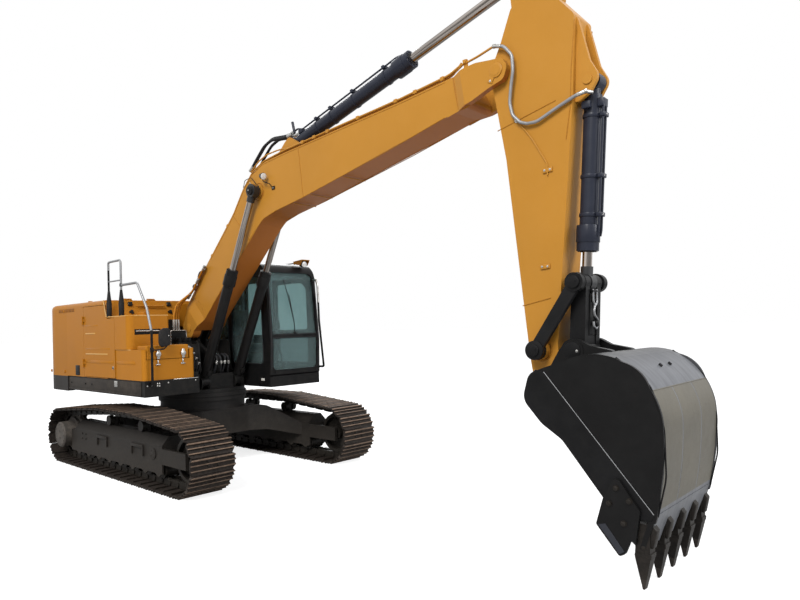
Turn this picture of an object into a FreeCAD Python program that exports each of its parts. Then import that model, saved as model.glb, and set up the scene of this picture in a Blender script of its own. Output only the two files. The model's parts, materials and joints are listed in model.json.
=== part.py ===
"""A 21 tonne class crawler excavator, modelled piece by piece.

Millimetres.  +X is forwards, +Y is left (the cab's side), +Z is up.  Everything is laid out
from the swing axis on the ground and moved by REST_CENTRE_X when it is written, so that the
origin is the middle of the machine's length, on the ground.
"""
import math
import os

import FreeCAD
import Part

# ---------------------------------------------------------------- driving dimensions
REST_CENTRE_X = 1957.0      # swing axis to the middle of the machine's length
RUN_CLEAR = 0.1             # radial clearance of a pin in its bore
SEAT_GAP = 0.3              # rolling and soft seats, and panes in their frames
MOVE_CLEAR = 6.0            # clearance between parts that move past each other

# tracks
TRACK_GAUGE = 2380.0
SHOE_WIDTH = 600.0
WHEEL_BASE = 3410.0
END_RADIUS = 379.0          # outside of the shoe plate round the idler and sprocket
CREST_RADIUS = 330.0        # outside of the shoe plate over a carrier roller
CREST_HEIGHT = 884.0
CARRIERS_X = (-380.0, 560.0)
GROUSER = 26.0
SHOE_PLATE = 12.0
LINK_HEIGHT = 95.0
SHOE_PITCH = 190.0
RAIL_INNER = 34.0           # from the chain's middle plane
RAIL_OUTER = 92.0

# track frame and car body
FRAME_HALF = 170.0          # half width of a track frame
FRAME_FROM_SPROCKET = 355.0
FRAME_FROM_IDLER = 475.0
FRAME_X = (FRAME_FROM_SPROCKET - WHEEL_BASE / 2, WHEEL_BASE / 2 - FRAME_FROM_IDLER)
FRAME_TAIL_X = FRAME_X[0] - 150.0   # end of the plates beside the sprocket
FRAME_Z = (310.0, 530.0)
FRAME_RIDGE = 640.0         # the box's shoulders slope up to this height
SKIRT_PLATE = 20.0
SKIRT_BOTTOM = 190.0
ROLLER_RADIUS = 80.0
ROLLER_COUNT = 8
ROLLER_SPAN = (FRAME_X[0] + 110.0, FRAME_X[1] - 100.0)
CARRIER_RADIUS = 68.0
BEARING_RADIUS = 640.0
BEARING_BORE = 470.0
BEARING_Z = (925.0, 1035.0)

# upper structure
DECK_BOTTOM = 1090.0
DECK_TOP = 1300.0
SIDE_Y = 1355.0             # outside of the upper structure
TAIL_RADIUS = 2855.0
TAIL_CORNER = 650.0
WEIGHT_FRONT_X = -1620.0
WEIGHT_DEPTH = 725.0
WEIGHT_ROOM_X = WEIGHT_DEPTH - TAIL_RADIUS   # front of the counterweight's solid part
WEIGHT_WING = 110.0
HOOD_TOP = 2390.0
LIFT_HOLE = 26.0            # shackle hole of the counterweight's lifting eyes
LIFT_RIM = 28.0
LIFT_PLATE = 40.0
LIFT_EYE = (375.0 - TAIL_RADIUS, HOOD_TOP + 45.0)
LIFT_EYE_Y = 620.0
TANK_TOP = 2150.0
HOOD_FRONT_X = -330.0
NOTCH_X = -310.0            # the housing stands back here behind the boom's foot
STEP_X = -240.0
RIGHT_FRONT_X = 790.0
TANK_FRONT_X = 415.0
DOOR_SPLIT_X = (-1000.0, 0.0)
PANEL_GAP = 6.0
PANEL = 30.0                # sheet panels with their folded edges

# cab
CAB_Y = (412.0, 1355.0)
CAB_X = (-740.0, 1120.0)
CAB_Z = (1090.0, 2900.0)
CAB_WALL = 50.0
CAB_BASE_TOP = 1240.0
CAB_HEAD = 2700.0           # upper edge of the cab's glazed openings
DOOR_SILL = 1290.0
DOOR_X = (90.0, 985.0)

# working equipment: pivots in side view (x, z)
BOOM_FOOT = (30.0, 1965.0)
BOOM_TIP = (5332.0, 4166.0)
BOOM_CYL_BASE = (475.0, 1200.0)
BOOM_CYL_EYE = (1750.0, 3695.0)
ARM_CYL_BASE = (2292.0, 4216.0)
ARM_CYL_EYE = (5530.0, 5040.0)
BUCKET_CYL_BASE = (6110.0, 3885.0)
ROCKER_PIN = (5640.0, 1665.0)
LINK_PIN = (5983.0, 2224.0)
BUCKET_LINK_PIN = (5945.0, 1660.0)
ARM_TIP = (5700.0, 1248.0)
BOOM_CYL_PIN = 40.0         # pin radii
ARM_CYL_PIN = 42.0
BUCKET_CYL_PIN = 40.0
TIP_PIN = 45.0
BUCKET_PIN = 40.0
ROCKER_SHAFT = 35.0
LINK_SHAFT = 38.0
BOOM_HALF = 190.0           # half width of the boom's box
FOOT_HALF = 235.0           # half width of its foot, which spreads out
TIP_HALF = 240.0            # half width of its fork at the arm
ARM_HALF = 165.0
BOOM_CYL_Y = 280.0
BUCKET_HALF = 615.0


# ---------------------------------------------------------------- small helpers
def vec(x, y, z):
    return FreeCAD.Vector(x, y, z)


def box(x0, x1, y0, y1, z0, z1):
    return Part.makeBox(x1 - x0, y1 - y0, z1 - z0, vec(x0, y0, z0))


def ycyl(at, radius, y0, y1):
    return Part.makeCylinder(radius, y1 - y0, vec(at[0], y0, at[1]), vec(0, 1, 0))


def zcyl(x, y, radius, z0, z1):
    return Part.makeCylinder(radius, z1 - z0, vec(x, y, z0), vec(0, 0, 1))


def xcyl(y, z, radius, x0, x1):
    return Part.makeCylinder(radius, x1 - x0, vec(x0, y, z), vec(1, 0, 0))


def fused(shapes):
    shapes = list(shapes)
    whole = shapes[0].multiFuse(shapes[1:]) if len(shapes) > 1 else shapes[0]
    return whole.removeSplitter()


def mirrored(shape):
    return shape.mirror(vec(0, 0, 0), vec(0, 1, 0))


def both_sides(shape):
    return [shape, mirrored(shape)]


def corner_wire(points, place):
    """Closed wire through (a, b) or (a, b, radius) points; place maps (a, b) to a vector."""
    count = len(points)
    starts, ends, arcs = [], [], []
    for index, point in enumerate(points):
        here = FreeCAD.Vector(point[0], point[1], 0)
        radius = point[2] if len(point) > 2 else 0.0
        before = FreeCAD.Vector(*points[index - 1][:2], 0)
        after = FreeCAD.Vector(*points[(index + 1) % count][:2], 0)
        if not radius:
            starts.append(here)
            ends.append(here)
            arcs.append(None)
            continue
        back = (before - here).normalize()
        ahead = (after - here).normalize()
        half = back.getAngle(ahead) / 2
        reach = radius / math.tan(half)
        middle = here + (back + ahead).normalize() * (radius / math.sin(half) - radius)
        starts.append(here + back * reach)
        ends.append(here + ahead * reach)
        arcs.append(middle)
    edges = []
    for index in range(count):
        follow = (index + 1) % count
        if arcs[index] is not None:
            stops = [place(p.x, p.y) for p in (starts[index], arcs[index], ends[index])]
            edges.append(Part.Arc(*stops).toShape())
        here, there = ends[index], starts[follow]
        if (there - here).Length > 1e-6:
            edges.append(Part.makeLine(place(here.x, here.y), place(there.x, there.y)))
    return Part.Wire(edges)


def side_plate(points, y0, y1):
    """Extrude a side view outline (x, z[, corner radius]) from y0 to y1."""
    wire = corner_wire(points, lambda a, b: vec(a, y0, b))
    return Part.Face(wire).extrude(vec(0, y1 - y0, 0))


def plan_plate(points, z0, z1):
    """Extrude a plan outline (x, y[, corner radius]) from z0 to z1."""
    wire = corner_wire(points, lambda a, b: vec(a, b, z0))
    return Part.Face(wire).extrude(vec(0, 0, z1 - z0))


def front_plate(points, x0, x1):
    """Extrude a front view outline (y, z[, corner radius]) from x0 to x1."""
    wire = corner_wire(points, lambda a, b: vec(x0, a, b))
    return Part.Face(wire).extrude(vec(x1 - x0, 0, 0))


def box_beam(points, half, wall):
    """Closed welded box: outline as for side_plate, hollow inside by the wall thickness."""
    outer = Part.Face(corner_wire(points, lambda a, b: vec(a, 0, b)))
    inner = outer.makeOffset2D(-wall)
    outer.translate(vec(0, -half, 0))
    inner.translate(vec(0, wall - half, 0))
    body = outer.extrude(vec(0, 2 * half, 0))
    return body.cut(inner.extrude(vec(0, 2 * (half - wall), 0)))


def round_bar(points, radius, bend):
    """Round bar or tube along straight runs joined by arcs of one bend radius."""
    spots = [vec(*p) for p in points]
    edges = []
    start = spots[0]
    for before, here, after in zip(spots, spots[1:], spots[2:]):
        back = (before - here).normalize()
        ahead = (after - here).normalize()
        half = back.getAngle(ahead) / 2
        reach = bend / math.tan(half)
        middle = here + (back + ahead).normalize() * (bend / math.sin(half) - bend)
        edges.append(Part.makeLine(start, here + back * reach))
        edges.append(Part.Arc(here + back * reach, middle, here + ahead * reach).toShape())
        start = here + ahead * reach
    edges.append(Part.makeLine(start, spots[-1]))
    path = Part.Wire(edges)
    first = (spots[1] - spots[0]).normalize()
    ring = Part.Wire(Part.makeCircle(radius, spots[0], first))
    return path.makePipeShell([ring], True, False)


def between(a, b, share):
    return (a[0] + (b[0] - a[0]) * share, a[1] + (b[1] - a[1]) * share)


def distance(a, b):
    return math.hypot(b[0] - a[0], b[1] - a[1])


def along(a, b, y, radius, start, stop):
    """Cylinder on the side view line a to b, in the plane y, from start to stop from a."""
    span = distance(a, b)
    ux, uz = (b[0] - a[0]) / span, (b[1] - a[1]) / span
    foot = vec(a[0] + ux * start, y, a[1] + uz * start)
    return Part.makeCylinder(radius, stop - start, foot, vec(ux, 0, uz))


HINGE_PIN = 7.0
HINGE_KNUCKLE = 12.0
HINGE_RISE = 15.0           # axis above the skins that the hinge joins
HINGE_LEAF = 8.0            # thickness of a leaf


def hinge(at, leaf, out, fixed_reach=60.0):
    """Hinge with three knuckles at a point of the skin: (fixed half, moving half).

    leaf points along the moving half, out is the skin's normal.
    """
    pin = zcyl(0, HINGE_RISE, HINGE_PIN, -60, 60)
    moving = fused([pin, zcyl(0, HINGE_RISE, HINGE_KNUCKLE, -19, 19), box(0, 60, 0, HINGE_LEAF, -19, 19)])
    fixed = []
    for z in (-60, 21):
        knuckle = zcyl(0, HINGE_RISE, HINGE_KNUCKLE, z, z + 39)
        plate = box(-fixed_reach, 0, 0, HINGE_LEAF, z, z + 39)
        fixed.append(knuckle.fuse(plate).cut(zcyl(0, HINGE_RISE, HINGE_PIN + RUN_CLEAR, -61, 61)))
    turn = FreeCAD.Rotation(leaf, out, leaf.cross(out), "XYZ")
    halves = [Part.makeCompound(fixed), moving]
    for half in halves:
        half.Placement = FreeCAD.Placement(at, turn)
    return halves


def hinges(places, leaf, out, fixed_reach=60.0):
    """Halves of several hinges: (all fixed halves' solids, all moving halves)."""
    pairs = [hinge(at, leaf, out, fixed_reach) for at in places]
    return [solid for pair in pairs for solid in pair[0].Solids], [pair[1] for pair in pairs]


def save(node, shape):
    moved = shape.copy()
    moved.translate(vec(-REST_CENTRE_X, 0, 0))
    moved.exportStep("parts/" + node + ".step")


# ---------------------------------------------------------------- tracks
def belt(offset):
    """Circles of the track loop, clockwise from the sprocket, each (x, z, radius)."""
    end_z = GROUSER + END_RADIUS
    crest_z = CREST_HEIGHT - CREST_RADIUS
    circles = [(-WHEEL_BASE / 2, end_z, END_RADIUS + offset)]
    circles += [(x, crest_z, CREST_RADIUS + offset) for x in CARRIERS_X]
    circles.append((WHEEL_BASE / 2, end_z, END_RADIUS + offset))
    return circles


def belt_runs(circles):
    """Tangent runs round the circles: (start, end) of each run, outside, going clockwise."""
    runs = []
    for index, (x0, z0, r0) in enumerate(circles):
        x1, z1, r1 = circles[(index + 1) % len(circles)]
        span = math.hypot(x1 - x0, z1 - z0)
        heading = math.atan2(z1 - z0, x1 - x0)
        lean = heading + math.acos((r0 - r1) / span)
        nx, nz = math.cos(lean), math.sin(lean)
        runs.append(((x0 + r0 * nx, z0 + r0 * nz), (x1 + r1 * nx, z1 + r1 * nz), lean))
    return runs


def belt_wire(offset):
    circles = belt(offset)
    runs = belt_runs(circles)
    edges = []
    for index, (start, end, lean) in enumerate(runs):
        edges.append(Part.makeLine(vec(start[0], 0, start[1]), vec(end[0], 0, end[1])))
        x, z, r = circles[(index + 1) % len(circles)]
        follow = runs[(index + 1) % len(runs)]
        turn = (lean - follow[2]) % (2 * math.pi)
        mid = lean - turn / 2
        middle = vec(x + r * math.cos(mid), 0, z + r * math.sin(mid))
        begin = vec(end[0], 0, end[1])
        finish = vec(follow[0][0], 0, follow[0][1])
        edges.append(Part.Arc(begin, middle, finish).toShape())
    return Part.Wire(edges)


def shoe_outline():
    """Outside of the loop: every shoe's plate and its three grousers, as one polygon."""
    path = belt_wire(0)
    length = path.Length
    count = round(length / SHOE_PITCH)
    pitch = length / count
    shape = [(0.05, 0.0), (0.08, 1.0), (0.14, 1.0), (0.18, 0.0)]
    for bar in (0.45, 0.80):
        shape += [(bar - 0.06, 0.0), (bar, 0.8), (bar + 0.06, 0.0)]
    edges = path.OrderedEdges
    points = []
    for shoe in range(count):
        for share, height in shape:
            points.append(belt_point(edges, (shoe + share) * pitch, GROUSER * height))
    points.append(points[0])
    return Part.makePolygon(points)


def belt_point(edges, travel, lift):
    for edge in edges:
        if travel <= edge.Length:
            at = edge.getParameterByLength(travel)
            if edge.Orientation == "Reversed":
                at = edge.getParameterByLength(edge.Length - travel)
            ahead = edge.tangentAt(at)
            if edge.Orientation == "Reversed":
                ahead = ahead * -1
            outward = vec(-ahead.z, 0, ahead.x)
            return edge.valueAt(at) + outward * lift
        travel -= edge.Length
    return edges[-1].valueAt(edges[-1].LastParameter)


def track_loop():
    """One loop of shoes with the chain's two link rails, about the plane y = 0."""
    shoes = Part.Face(shoe_outline()).cut(Part.Face(belt_wire(-SHOE_PLATE)))
    shoes.translate(vec(0, -SHOE_WIDTH / 2, 0))
    band = shoes.extrude(vec(0, SHOE_WIDTH, 0))
    chain = Part.Face(belt_wire(-SHOE_PLATE / 2)).cut(Part.Face(belt_wire(-SHOE_PLATE - LINK_HEIGHT)))
    chain.translate(vec(0, RAIL_INNER, 0))
    rail = chain.extrude(vec(0, RAIL_OUTER - RAIL_INNER, 0))
    return band.multiFuse(both_sides(rail))


WHEEL_Z = GROUSER + END_RADIUS
RAIL_RADIUS = END_RADIUS - SHOE_PLATE - LINK_HEIGHT
RAIL_TOP = GROUSER + SHOE_PLATE + LINK_HEIGHT
ROLLER_Z = RAIL_TOP + ROLLER_RADIUS + SEAT_GAP
CARRIER_Z = CREST_HEIGHT - SHOE_PLATE - LINK_HEIGHT - CARRIER_RADIUS - SEAT_GAP
DRIVE_OUT = 270.0           # final drive cover, from the chain's plane outwards
DRIVE_RADIUS = 190.0


def sprocket():
    """Toothed ring, hub and the final drive's round housing."""
    x = -WHEEL_BASE / 2
    teeth = 21
    root, tip = 292.0, 338.0
    points = []
    for tooth in range(teeth):
        for share, radius in ((0.0, root), (0.28, root), (0.42, tip), (0.58, tip), (0.72, root)):
            angle = (tooth + share) * 2 * math.pi / teeth
            points.append((x + radius * math.cos(angle), WHEEL_Z + radius * math.sin(angle)))
    ring = side_plate(points, -RAIL_INNER + 6, RAIL_INNER - 6)
    centre = (x, WHEEL_Z)
    disc = ycyl(centre, 240, -70, 70)
    drive = ycyl(centre, DRIVE_RADIUS, -DRIVE_OUT, -60)
    drive = drive.makeChamfer(18, [e for e in drive.Edges if e.BoundBox.YMax < -DRIVE_OUT + 1])
    carrier = ycyl(centre, 165, 60, FRAME_HALF)
    return fused([ring, disc, drive, carrier])


def idler():
    centre = (WHEEL_BASE / 2, WHEEL_Z)
    tread = ycyl(centre, RAIL_RADIUS - SEAT_GAP, -RAIL_OUTER, RAIL_OUTER)
    flange = ycyl(centre, RAIL_RADIUS + 22, -RAIL_INNER + 6, RAIL_INNER - 6)
    hollow = ycyl(centre, RAIL_RADIUS - 45, -RAIL_OUTER - 1, -30)
    hollow = hollow.cut(ycyl(centre, 95, -RAIL_OUTER - 1, -30))
    wheel = fused([tread, flange]).cut(hollow).cut(mirrored(hollow))
    axle = ycyl(centre, 45, -FRAME_HALF + 20, FRAME_HALF - 20)
    return fused([wheel, axle])


def rollers():
    """Bottom rollers and the two carrier rollers of one side."""
    pieces = []
    step = (ROLLER_SPAN[1] - ROLLER_SPAN[0]) / (ROLLER_COUNT - 1)
    for index in range(ROLLER_COUNT):
        at = (ROLLER_SPAN[0] + index * step, ROLLER_Z)
        wheel = ycyl(at, ROLLER_RADIUS, -RAIL_OUTER, RAIL_OUTER)
        rim = ycyl(at, ROLLER_RADIUS + 12, RAIL_OUTER + 6, RAIL_OUTER + 24)
        hub = ycyl(at, 42, -RAIL_OUTER - 30, RAIL_OUTER + 30)
        axle = ycyl(at, 28, SKIRT_PLATE - FRAME_HALF, FRAME_HALF - SKIRT_PLATE)
        pieces.append(fused([wheel, hub, axle] + both_sides(rim)))
    for x in CARRIERS_X:
        at = (x, CARRIER_Z)
        wheel = ycyl(at, CARRIER_RADIUS, RAIL_INNER + 4, RAIL_OUTER + 8)
        pieces.append(fused(both_sides(wheel) + [ycyl(at, 30, -RAIL_OUTER, RAIL_OUTER)]))
    return Part.makeCompound(pieces)


def track_frame():
    """Box frame of one side: skirts with pointed guards, idler yoke and motor bracket."""
    x0, x1 = FRAME_X
    z0, z1 = FRAME_Z
    shoulder = FRAME_HALF - 105
    section = [(-FRAME_HALF, z0), (FRAME_HALF, z0), (FRAME_HALF, z1), (shoulder, FRAME_RIDGE),
               (-shoulder, FRAME_RIDGE), (-FRAME_HALF, z1)]
    inside = [(15 - FRAME_HALF, z0 + 15), (FRAME_HALF - 15, z0 + 15), (FRAME_HALF - 15, z1 - 8),
              (shoulder - 8, FRAME_RIDGE - 15), (8 - shoulder, FRAME_RIDGE - 15), (15 - FRAME_HALF, z1 - 8)]
    top = front_plate(section, x0, x1).cut(front_plate(inside, x0 + 15, x1 - 15))
    step = (ROLLER_SPAN[1] - ROLLER_SPAN[0]) / (ROLLER_COUNT - 1)
    points = [(x0, z0 + 20), (x0, SKIRT_BOTTOM)]
    for index in range(ROLLER_COUNT):
        at = ROLLER_SPAN[0] + index * step
        points += [(at - 75, SKIRT_BOTTOM), (at - 22, RAIL_TOP + 22), (at + 22, RAIL_TOP + 22)]
        points += [(at + 75, SKIRT_BOTTOM)]
    points += [(x1, SKIRT_BOTTOM), (x1, z0 + 20)]
    skirt = side_plate(points, FRAME_HALF - SKIRT_PLATE, FRAME_HALF)
    yoke = box(x1 - 60, WHEEL_BASE / 2 + 70, FRAME_HALF - 40, FRAME_HALF, WHEEL_Z - 95, WHEEL_Z + 95)
    yoke = yoke.cut(ycyl((WHEEL_BASE / 2, WHEEL_Z), 45, 0, FRAME_HALF - 20))
    tail = box(FRAME_TAIL_X, x0 + 30, FRAME_HALF - SKIRT_PLATE, FRAME_HALF, SKIRT_BOTTOM, z1 - 30)
    motor = side_plate([(x0 + 60, z0), (x0 + 60, z1 - 10), (-WHEEL_BASE / 2, WHEEL_Z + 175, 60),
                        (-WHEEL_BASE / 2 - 120, WHEEL_Z + 60, 60), (-WHEEL_BASE / 2 - 120, WHEEL_Z - 60, 60),
                        (-WHEEL_BASE / 2, WHEEL_Z - 175, 60)], FRAME_HALF, FRAME_HALF + 30)
    posts = []
    for x in CARRIERS_X:
        post = box(x - 45, x + 45, -24, 24, FRAME_RIDGE - 5, CARRIER_Z + 45)
        posts.append(post.cut(ycyl((x, CARRIER_Z), 30, -30, 30)))
    return fused([top, motor] + both_sides(skirt) + both_sides(tail) + both_sides(yoke) + posts)


def place_side(shape, side):
    """Pieces are drawn with the outside towards -Y, about y = 0; side is -1 right, +1 left."""
    placed = shape.copy() if side < 0 else mirrored(shape)
    placed.translate(vec(0, side * TRACK_GAUGE / 2, 0))
    return placed


def car_body():
    """Centre frame with four legs out to the track frames."""
    inner = TRACK_GAUGE / 2 - FRAME_HALF
    leg_x = (430.0, 1060.0)
    plan = [(-leg_x[1], -inner), (-leg_x[0], -inner), (-260, -760, 150), (260, -760, 150),
            (leg_x[0], -inner), (leg_x[1], -inner), (620, -420, 200), (620, 420, 200),
            (leg_x[1], inner), (leg_x[0], inner), (260, 760, 150), (-260, 760, 150),
            (-leg_x[0], inner), (-leg_x[1], inner), (-620, 420, 200), (-620, -420, 200)]
    flat = plan_plate(plan, 300, 900)
    elevation = [(-inner, 330), (-inner, 515), (-600, 800, 120), (600, 800, 120), (inner, 515),
                 (inner, 330), (620, 440, 150), (-620, 440, 150)]
    arms = flat.common(front_plate(elevation, -1200, 1200))
    drum = zcyl(0, 0, BEARING_RADIUS - 25, 700, BEARING_Z[0])
    body = fused([arms, drum])
    return body.cut(zcyl(0, 0, BEARING_BORE - 40, 460, BEARING_Z[0] + 1))


def bearing():
    ring = zcyl(0, 0, BEARING_RADIUS, *BEARING_Z)
    ring = ring.cut(zcyl(0, 0, BEARING_BORE, BEARING_Z[0] - 1, BEARING_Z[1] + 1))
    groove = zcyl(0, 0, BEARING_RADIUS + 1, BEARING_Z[0] + 45, BEARING_Z[0] + 60)
    return ring.cut(groove.cut(zcyl(0, 0, BEARING_RADIUS - 12, BEARING_Z[0], BEARING_Z[1])))


def build_undercarriage():
    save("car_body", car_body())
    save("swing_bearing", bearing())
    pieces = {"track": track_loop(), "track_frame": track_frame(), "sprocket": sprocket(),
              "idler": idler(), "track_rollers": rollers()}
    for side, word in ((1, "left"), (-1, "right")):
        for name, shape in pieces.items():
            save(name + "_" + word, place_side(shape, side))


# ---------------------------------------------------------------- upper structure
EAR_Y = (FOOT_HALF + MOVE_CLEAR + 4, FOOT_HALF + MOVE_CLEAR + 34)
FOOT_PIN = 50.0
FOOT_BOSS = 145.0           # rounded end of the boom
FOOT_SLOT = 105.0           # half width of the slot between the boom's two foot bosses
HEEL_TOP = 1780.0           # top of the plates beside the boom's foot
EYE_HALF = 45.0             # half width of a cylinder's eye
CYL_EAR = 26.0
CENTRE_FRONT_X = 500.0


def revolving_frame():
    """Deck with its skirts, boom ears and the boom cylinders' brackets."""
    tail = WEIGHT_ROOM_X + 2
    wing = SIDE_Y - WEIGHT_WING - 2
    side = SIDE_Y - 20
    front = WEIGHT_FRONT_X + 2
    outer = [(tail, -wing), (front, -wing), (front, -side), (RIGHT_FRONT_X, -side), (RIGHT_FRONT_X, -545),
             (CENTRE_FRONT_X, -BOOM_CYL_Y - 90), (CENTRE_FRONT_X, CAB_Y[0] - 6),
             (CAB_X[0] - 10, CAB_Y[0] - 6), (CAB_X[0] - 10, side), (front, side), (front, wing),
             (tail, wing)]
    deck = plan_plate(outer, DECK_BOTTOM, DECK_TOP)
    rooms = [box(-1580, -780, 460, side - 20, DECK_BOTTOM + 16, DECK_TOP - 10),
             box(-1580, -60, 20 - side, -620, DECK_BOTTOM + 16, DECK_TOP - 10),
             box(0, 700, 20 - side, -620, DECK_BOTTOM + 16, DECK_TOP - 10),
             box(-1580, -640, -220, 220, DECK_BOTTOM - 1, DECK_TOP - 10)]
    for room in rooms:
        deck = deck.cut(room)
    fx, fz = BOOM_FOOT
    heel = side_plate([(-420, DECK_TOP - 10), (CENTRE_FRONT_X - 120, DECK_TOP - 10),
                       (CENTRE_FRONT_X - 178, HEEL_TOP, 60), (-340, HEEL_TOP, 60)], *EAR_Y)
    reach = FOOT_BOSS - MOVE_CLEAR
    ear = side_plate([(fx - 280, DECK_TOP - 10), (fx + 350, DECK_TOP - 10), (fx + 300, fz - 380, 60),
                      (fx - 25, fz - 190, 50), (fx + reach, fz - 20, 90), (fx + 60, fz + reach, 90),
                      (fx - 60, fz + reach, 90), (fx - reach, fz - 20, 90)],
                     FOOT_SLOT - 60, FOOT_SLOT - MOVE_CLEAR - 4)
    foot_pin = ycyl(BOOM_FOOT, FOOT_PIN, -FOOT_HALF - 8, FOOT_HALF + 8)
    ears = both_sides(heel) + both_sides(ear) + [foot_pin]
    ax, az = BOOM_CYL_BASE
    plate = [(CENTRE_FRONT_X - 160, DECK_BOTTOM + 5), (ax + 40, DECK_BOTTOM + 5, 30), (ax + 100, az, 90),
             (ax + 10, az + 100, 90), (ax - 100, az + 60, 60), (CENTRE_FRONT_X - 160, az + 40)]
    inside = BOOM_CYL_Y - EYE_HALF - 2 - CYL_EAR
    near = side_plate(plate, inside, inside + CYL_EAR)
    far = side_plate(plate, BOOM_CYL_Y + EYE_HALF + 2, BOOM_CYL_Y + EYE_HALF + 2 + CYL_EAR)
    pin = ycyl(BOOM_CYL_BASE, BOOM_CYL_PIN, inside, BOOM_CYL_Y + EYE_HALF + 2 + CYL_EAR)
    brackets = [piece for part in (near, far, pin) for piece in both_sides(part)]
    ring = zcyl(0, 0, BEARING_RADIUS - 20, BEARING_Z[1] + SEAT_GAP, DECK_BOTTOM)
    ring = ring.cut(zcyl(0, 0, BEARING_BORE, BEARING_Z[1], DECK_BOTTOM + 1))
    room = box(CENTRE_FRONT_X - 115, RIGHT_FRONT_X + 60, inside + CYL_EAR, BOOM_CYL_Y + EYE_HALF + 2,
               DECK_BOTTOM - 1, DECK_TOP + 1)
    deck = deck.cut(room).cut(mirrored(room))
    return fused([deck, ring] + ears + brackets)


def tail_outline():
    """Plan of the counterweight's outside: the tail's arc, two corner arcs and the sides."""
    inside = TAIL_RADIUS - TAIL_CORNER
    corner_x = -math.sqrt(inside ** 2 - (SIDE_Y - TAIL_CORNER) ** 2)
    centre = vec(corner_x, SIDE_Y - TAIL_CORNER, 0)
    outward = vec(centre.x, centre.y, 0).normalize()
    tangent = outward * TAIL_RADIUS
    middle = centre + (outward + vec(0, 1, 0)).normalize() * TAIL_CORNER
    flat = vec(corner_x, SIDE_Y, 0)
    front = vec(WEIGHT_FRONT_X, SIDE_Y, 0)
    left = [Part.Arc(tangent, middle, flat).toShape(), Part.makeLine(flat, front)]
    right = [mirrored(edge) for edge in left]
    tail = Part.Arc(vec(tangent.x, -tangent.y, 0), vec(-TAIL_RADIUS, 0, 0), tangent).toShape()
    closing = Part.makeLine(front, vec(front.x, -front.y, 0))
    return Part.Wire(Part.__sortEdges__([tail, closing] + left + right))


def counterweight():
    """Cast block with side wings that reach forward to the side doors."""
    base = Part.Face(tail_outline())
    base.translate(vec(0, 0, DECK_BOTTOM - 25))
    block = base.extrude(vec(0, 0, HOOD_TOP - DECK_BOTTOM + 25))
    rim = [e for e in block.Edges if e.BoundBox.ZMin > HOOD_TOP - 1
           and e.BoundBox.XMin < WEIGHT_FRONT_X - 10]
    block = block.makeFillet(70, rim)
    inner = SIDE_Y - WEIGHT_WING
    room = box(WEIGHT_ROOM_X, WEIGHT_FRONT_X + 1, -inner, inner, DECK_BOTTOM - 26, HOOD_TOP + 1)
    block = block.cut(room)
    return block


def lifting_eyes():
    """Two eyes of thick plate welded on the counterweight's top for shackles."""
    x, z = LIFT_EYE
    half = LIFT_HOLE + LIFT_RIM
    eye = side_plate([(x - half - 20, HOOD_TOP), (x - half, z + half, half - 5),
                      (x + half, z + half, half - 5), (x + half + 20, HOOD_TOP)],
                     LIFT_EYE_Y - LIFT_PLATE / 2, LIFT_EYE_Y + LIFT_PLATE / 2)
    eye = eye.cut(ycyl(LIFT_EYE, LIFT_HOLE, 0, LIFT_EYE_Y + LIFT_PLATE))
    return Part.makeCompound(both_sides(eye))


def shell_outer():
    """Outside of the engine and pump housing as one block."""
    side = [(WEIGHT_FRONT_X, DECK_TOP), (STEP_X, DECK_TOP), (STEP_X, TANK_TOP), (HOOD_FRONT_X, HOOD_TOP, 20),
            (WEIGHT_FRONT_X, HOOD_TOP)]
    return side_plate(side, -SIDE_Y, SIDE_Y)


def housing():
    """Fixed panels round the engine and pumps, open where the hood and doors close them."""
    shell = shell_outer()
    long_edges = [e for e in shell.Edges if abs(e.Length - (HOOD_FRONT_X - WEIGHT_FRONT_X)) < 60
                  and e.BoundBox.ZMin > HOOD_TOP - 1]
    shell = shell.makeFillet(60, long_edges)
    outer = shell.copy()
    inner = side_plate([(WEIGHT_FRONT_X - 1, DECK_TOP - 1), (STEP_X - PANEL, DECK_TOP - 1),
                        (STEP_X - PANEL, TANK_TOP - 10), (HOOD_FRONT_X - PANEL, HOOD_TOP - PANEL),
                        (WEIGHT_FRONT_X - 1, HOOD_TOP - PANEL)], PANEL - SIDE_Y, SIDE_Y - PANEL)
    shell = shell.cut(inner)
    cab_side = CAB_Y[0] - 10
    cab_back = CAB_X[0] - 20
    notch = FOOT_HALF + MOVE_CLEAR + 10
    walls = fused([box(cab_back - PANEL, STEP_X, cab_side - PANEL, cab_side, DECK_TOP, HOOD_TOP),
                   box(cab_back - PANEL, cab_back, cab_side - PANEL, SIDE_Y - 1, DECK_TOP, HOOD_TOP),
                   box(NOTCH_X - PANEL, STEP_X, -notch - PANEL, notch + PANEL, 2000, HOOD_TOP)])
    shell = fused([shell, walls.common(outer)])
    shell = shell.cut(box(cab_back, 0, cab_side, SIDE_Y + 1, DECK_TOP - 1, HOOD_TOP + 1))
    shell = shell.cut(box(NOTCH_X, STEP_X + 1, -notch, notch, DECK_TOP - 1, HOOD_TOP + 1))
    back, front = WEIGHT_ROOM_X + 2, WEIGHT_FRONT_X + 1
    wing = SIDE_Y - WEIGHT_WING - 2
    rails = [box(back, front, HOOD_Y[1] + PANEL_GAP, wing, HOOD_TOP - PANEL, HOOD_TOP),
             box(back, front, -wing, HOOD_Y[0] - PANEL_GAP, HOOD_TOP - PANEL, HOOD_TOP)]
    ears = [box(-640, STEP_X + 1, y0, y1, DECK_TOP - 1, HEEL_TOP + 20)
            for y0, y1 in ((-EAR_Y[1] - 10, 6 - EAR_Y[0]), (EAR_Y[0] - 6, EAR_Y[1] + 10))]
    shell = fused([shell] + rails)
    for opening in [hood_space(PANEL_GAP), right_door_space(PANEL_GAP), left_door_space(PANEL_GAP)] + ears:
        shell = shell.cut(opening)
    fixed = hood_hinges()[0] + right_door_hinges()[0] + left_door_hinges()[0]
    return fused([shell] + fixed)


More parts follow.
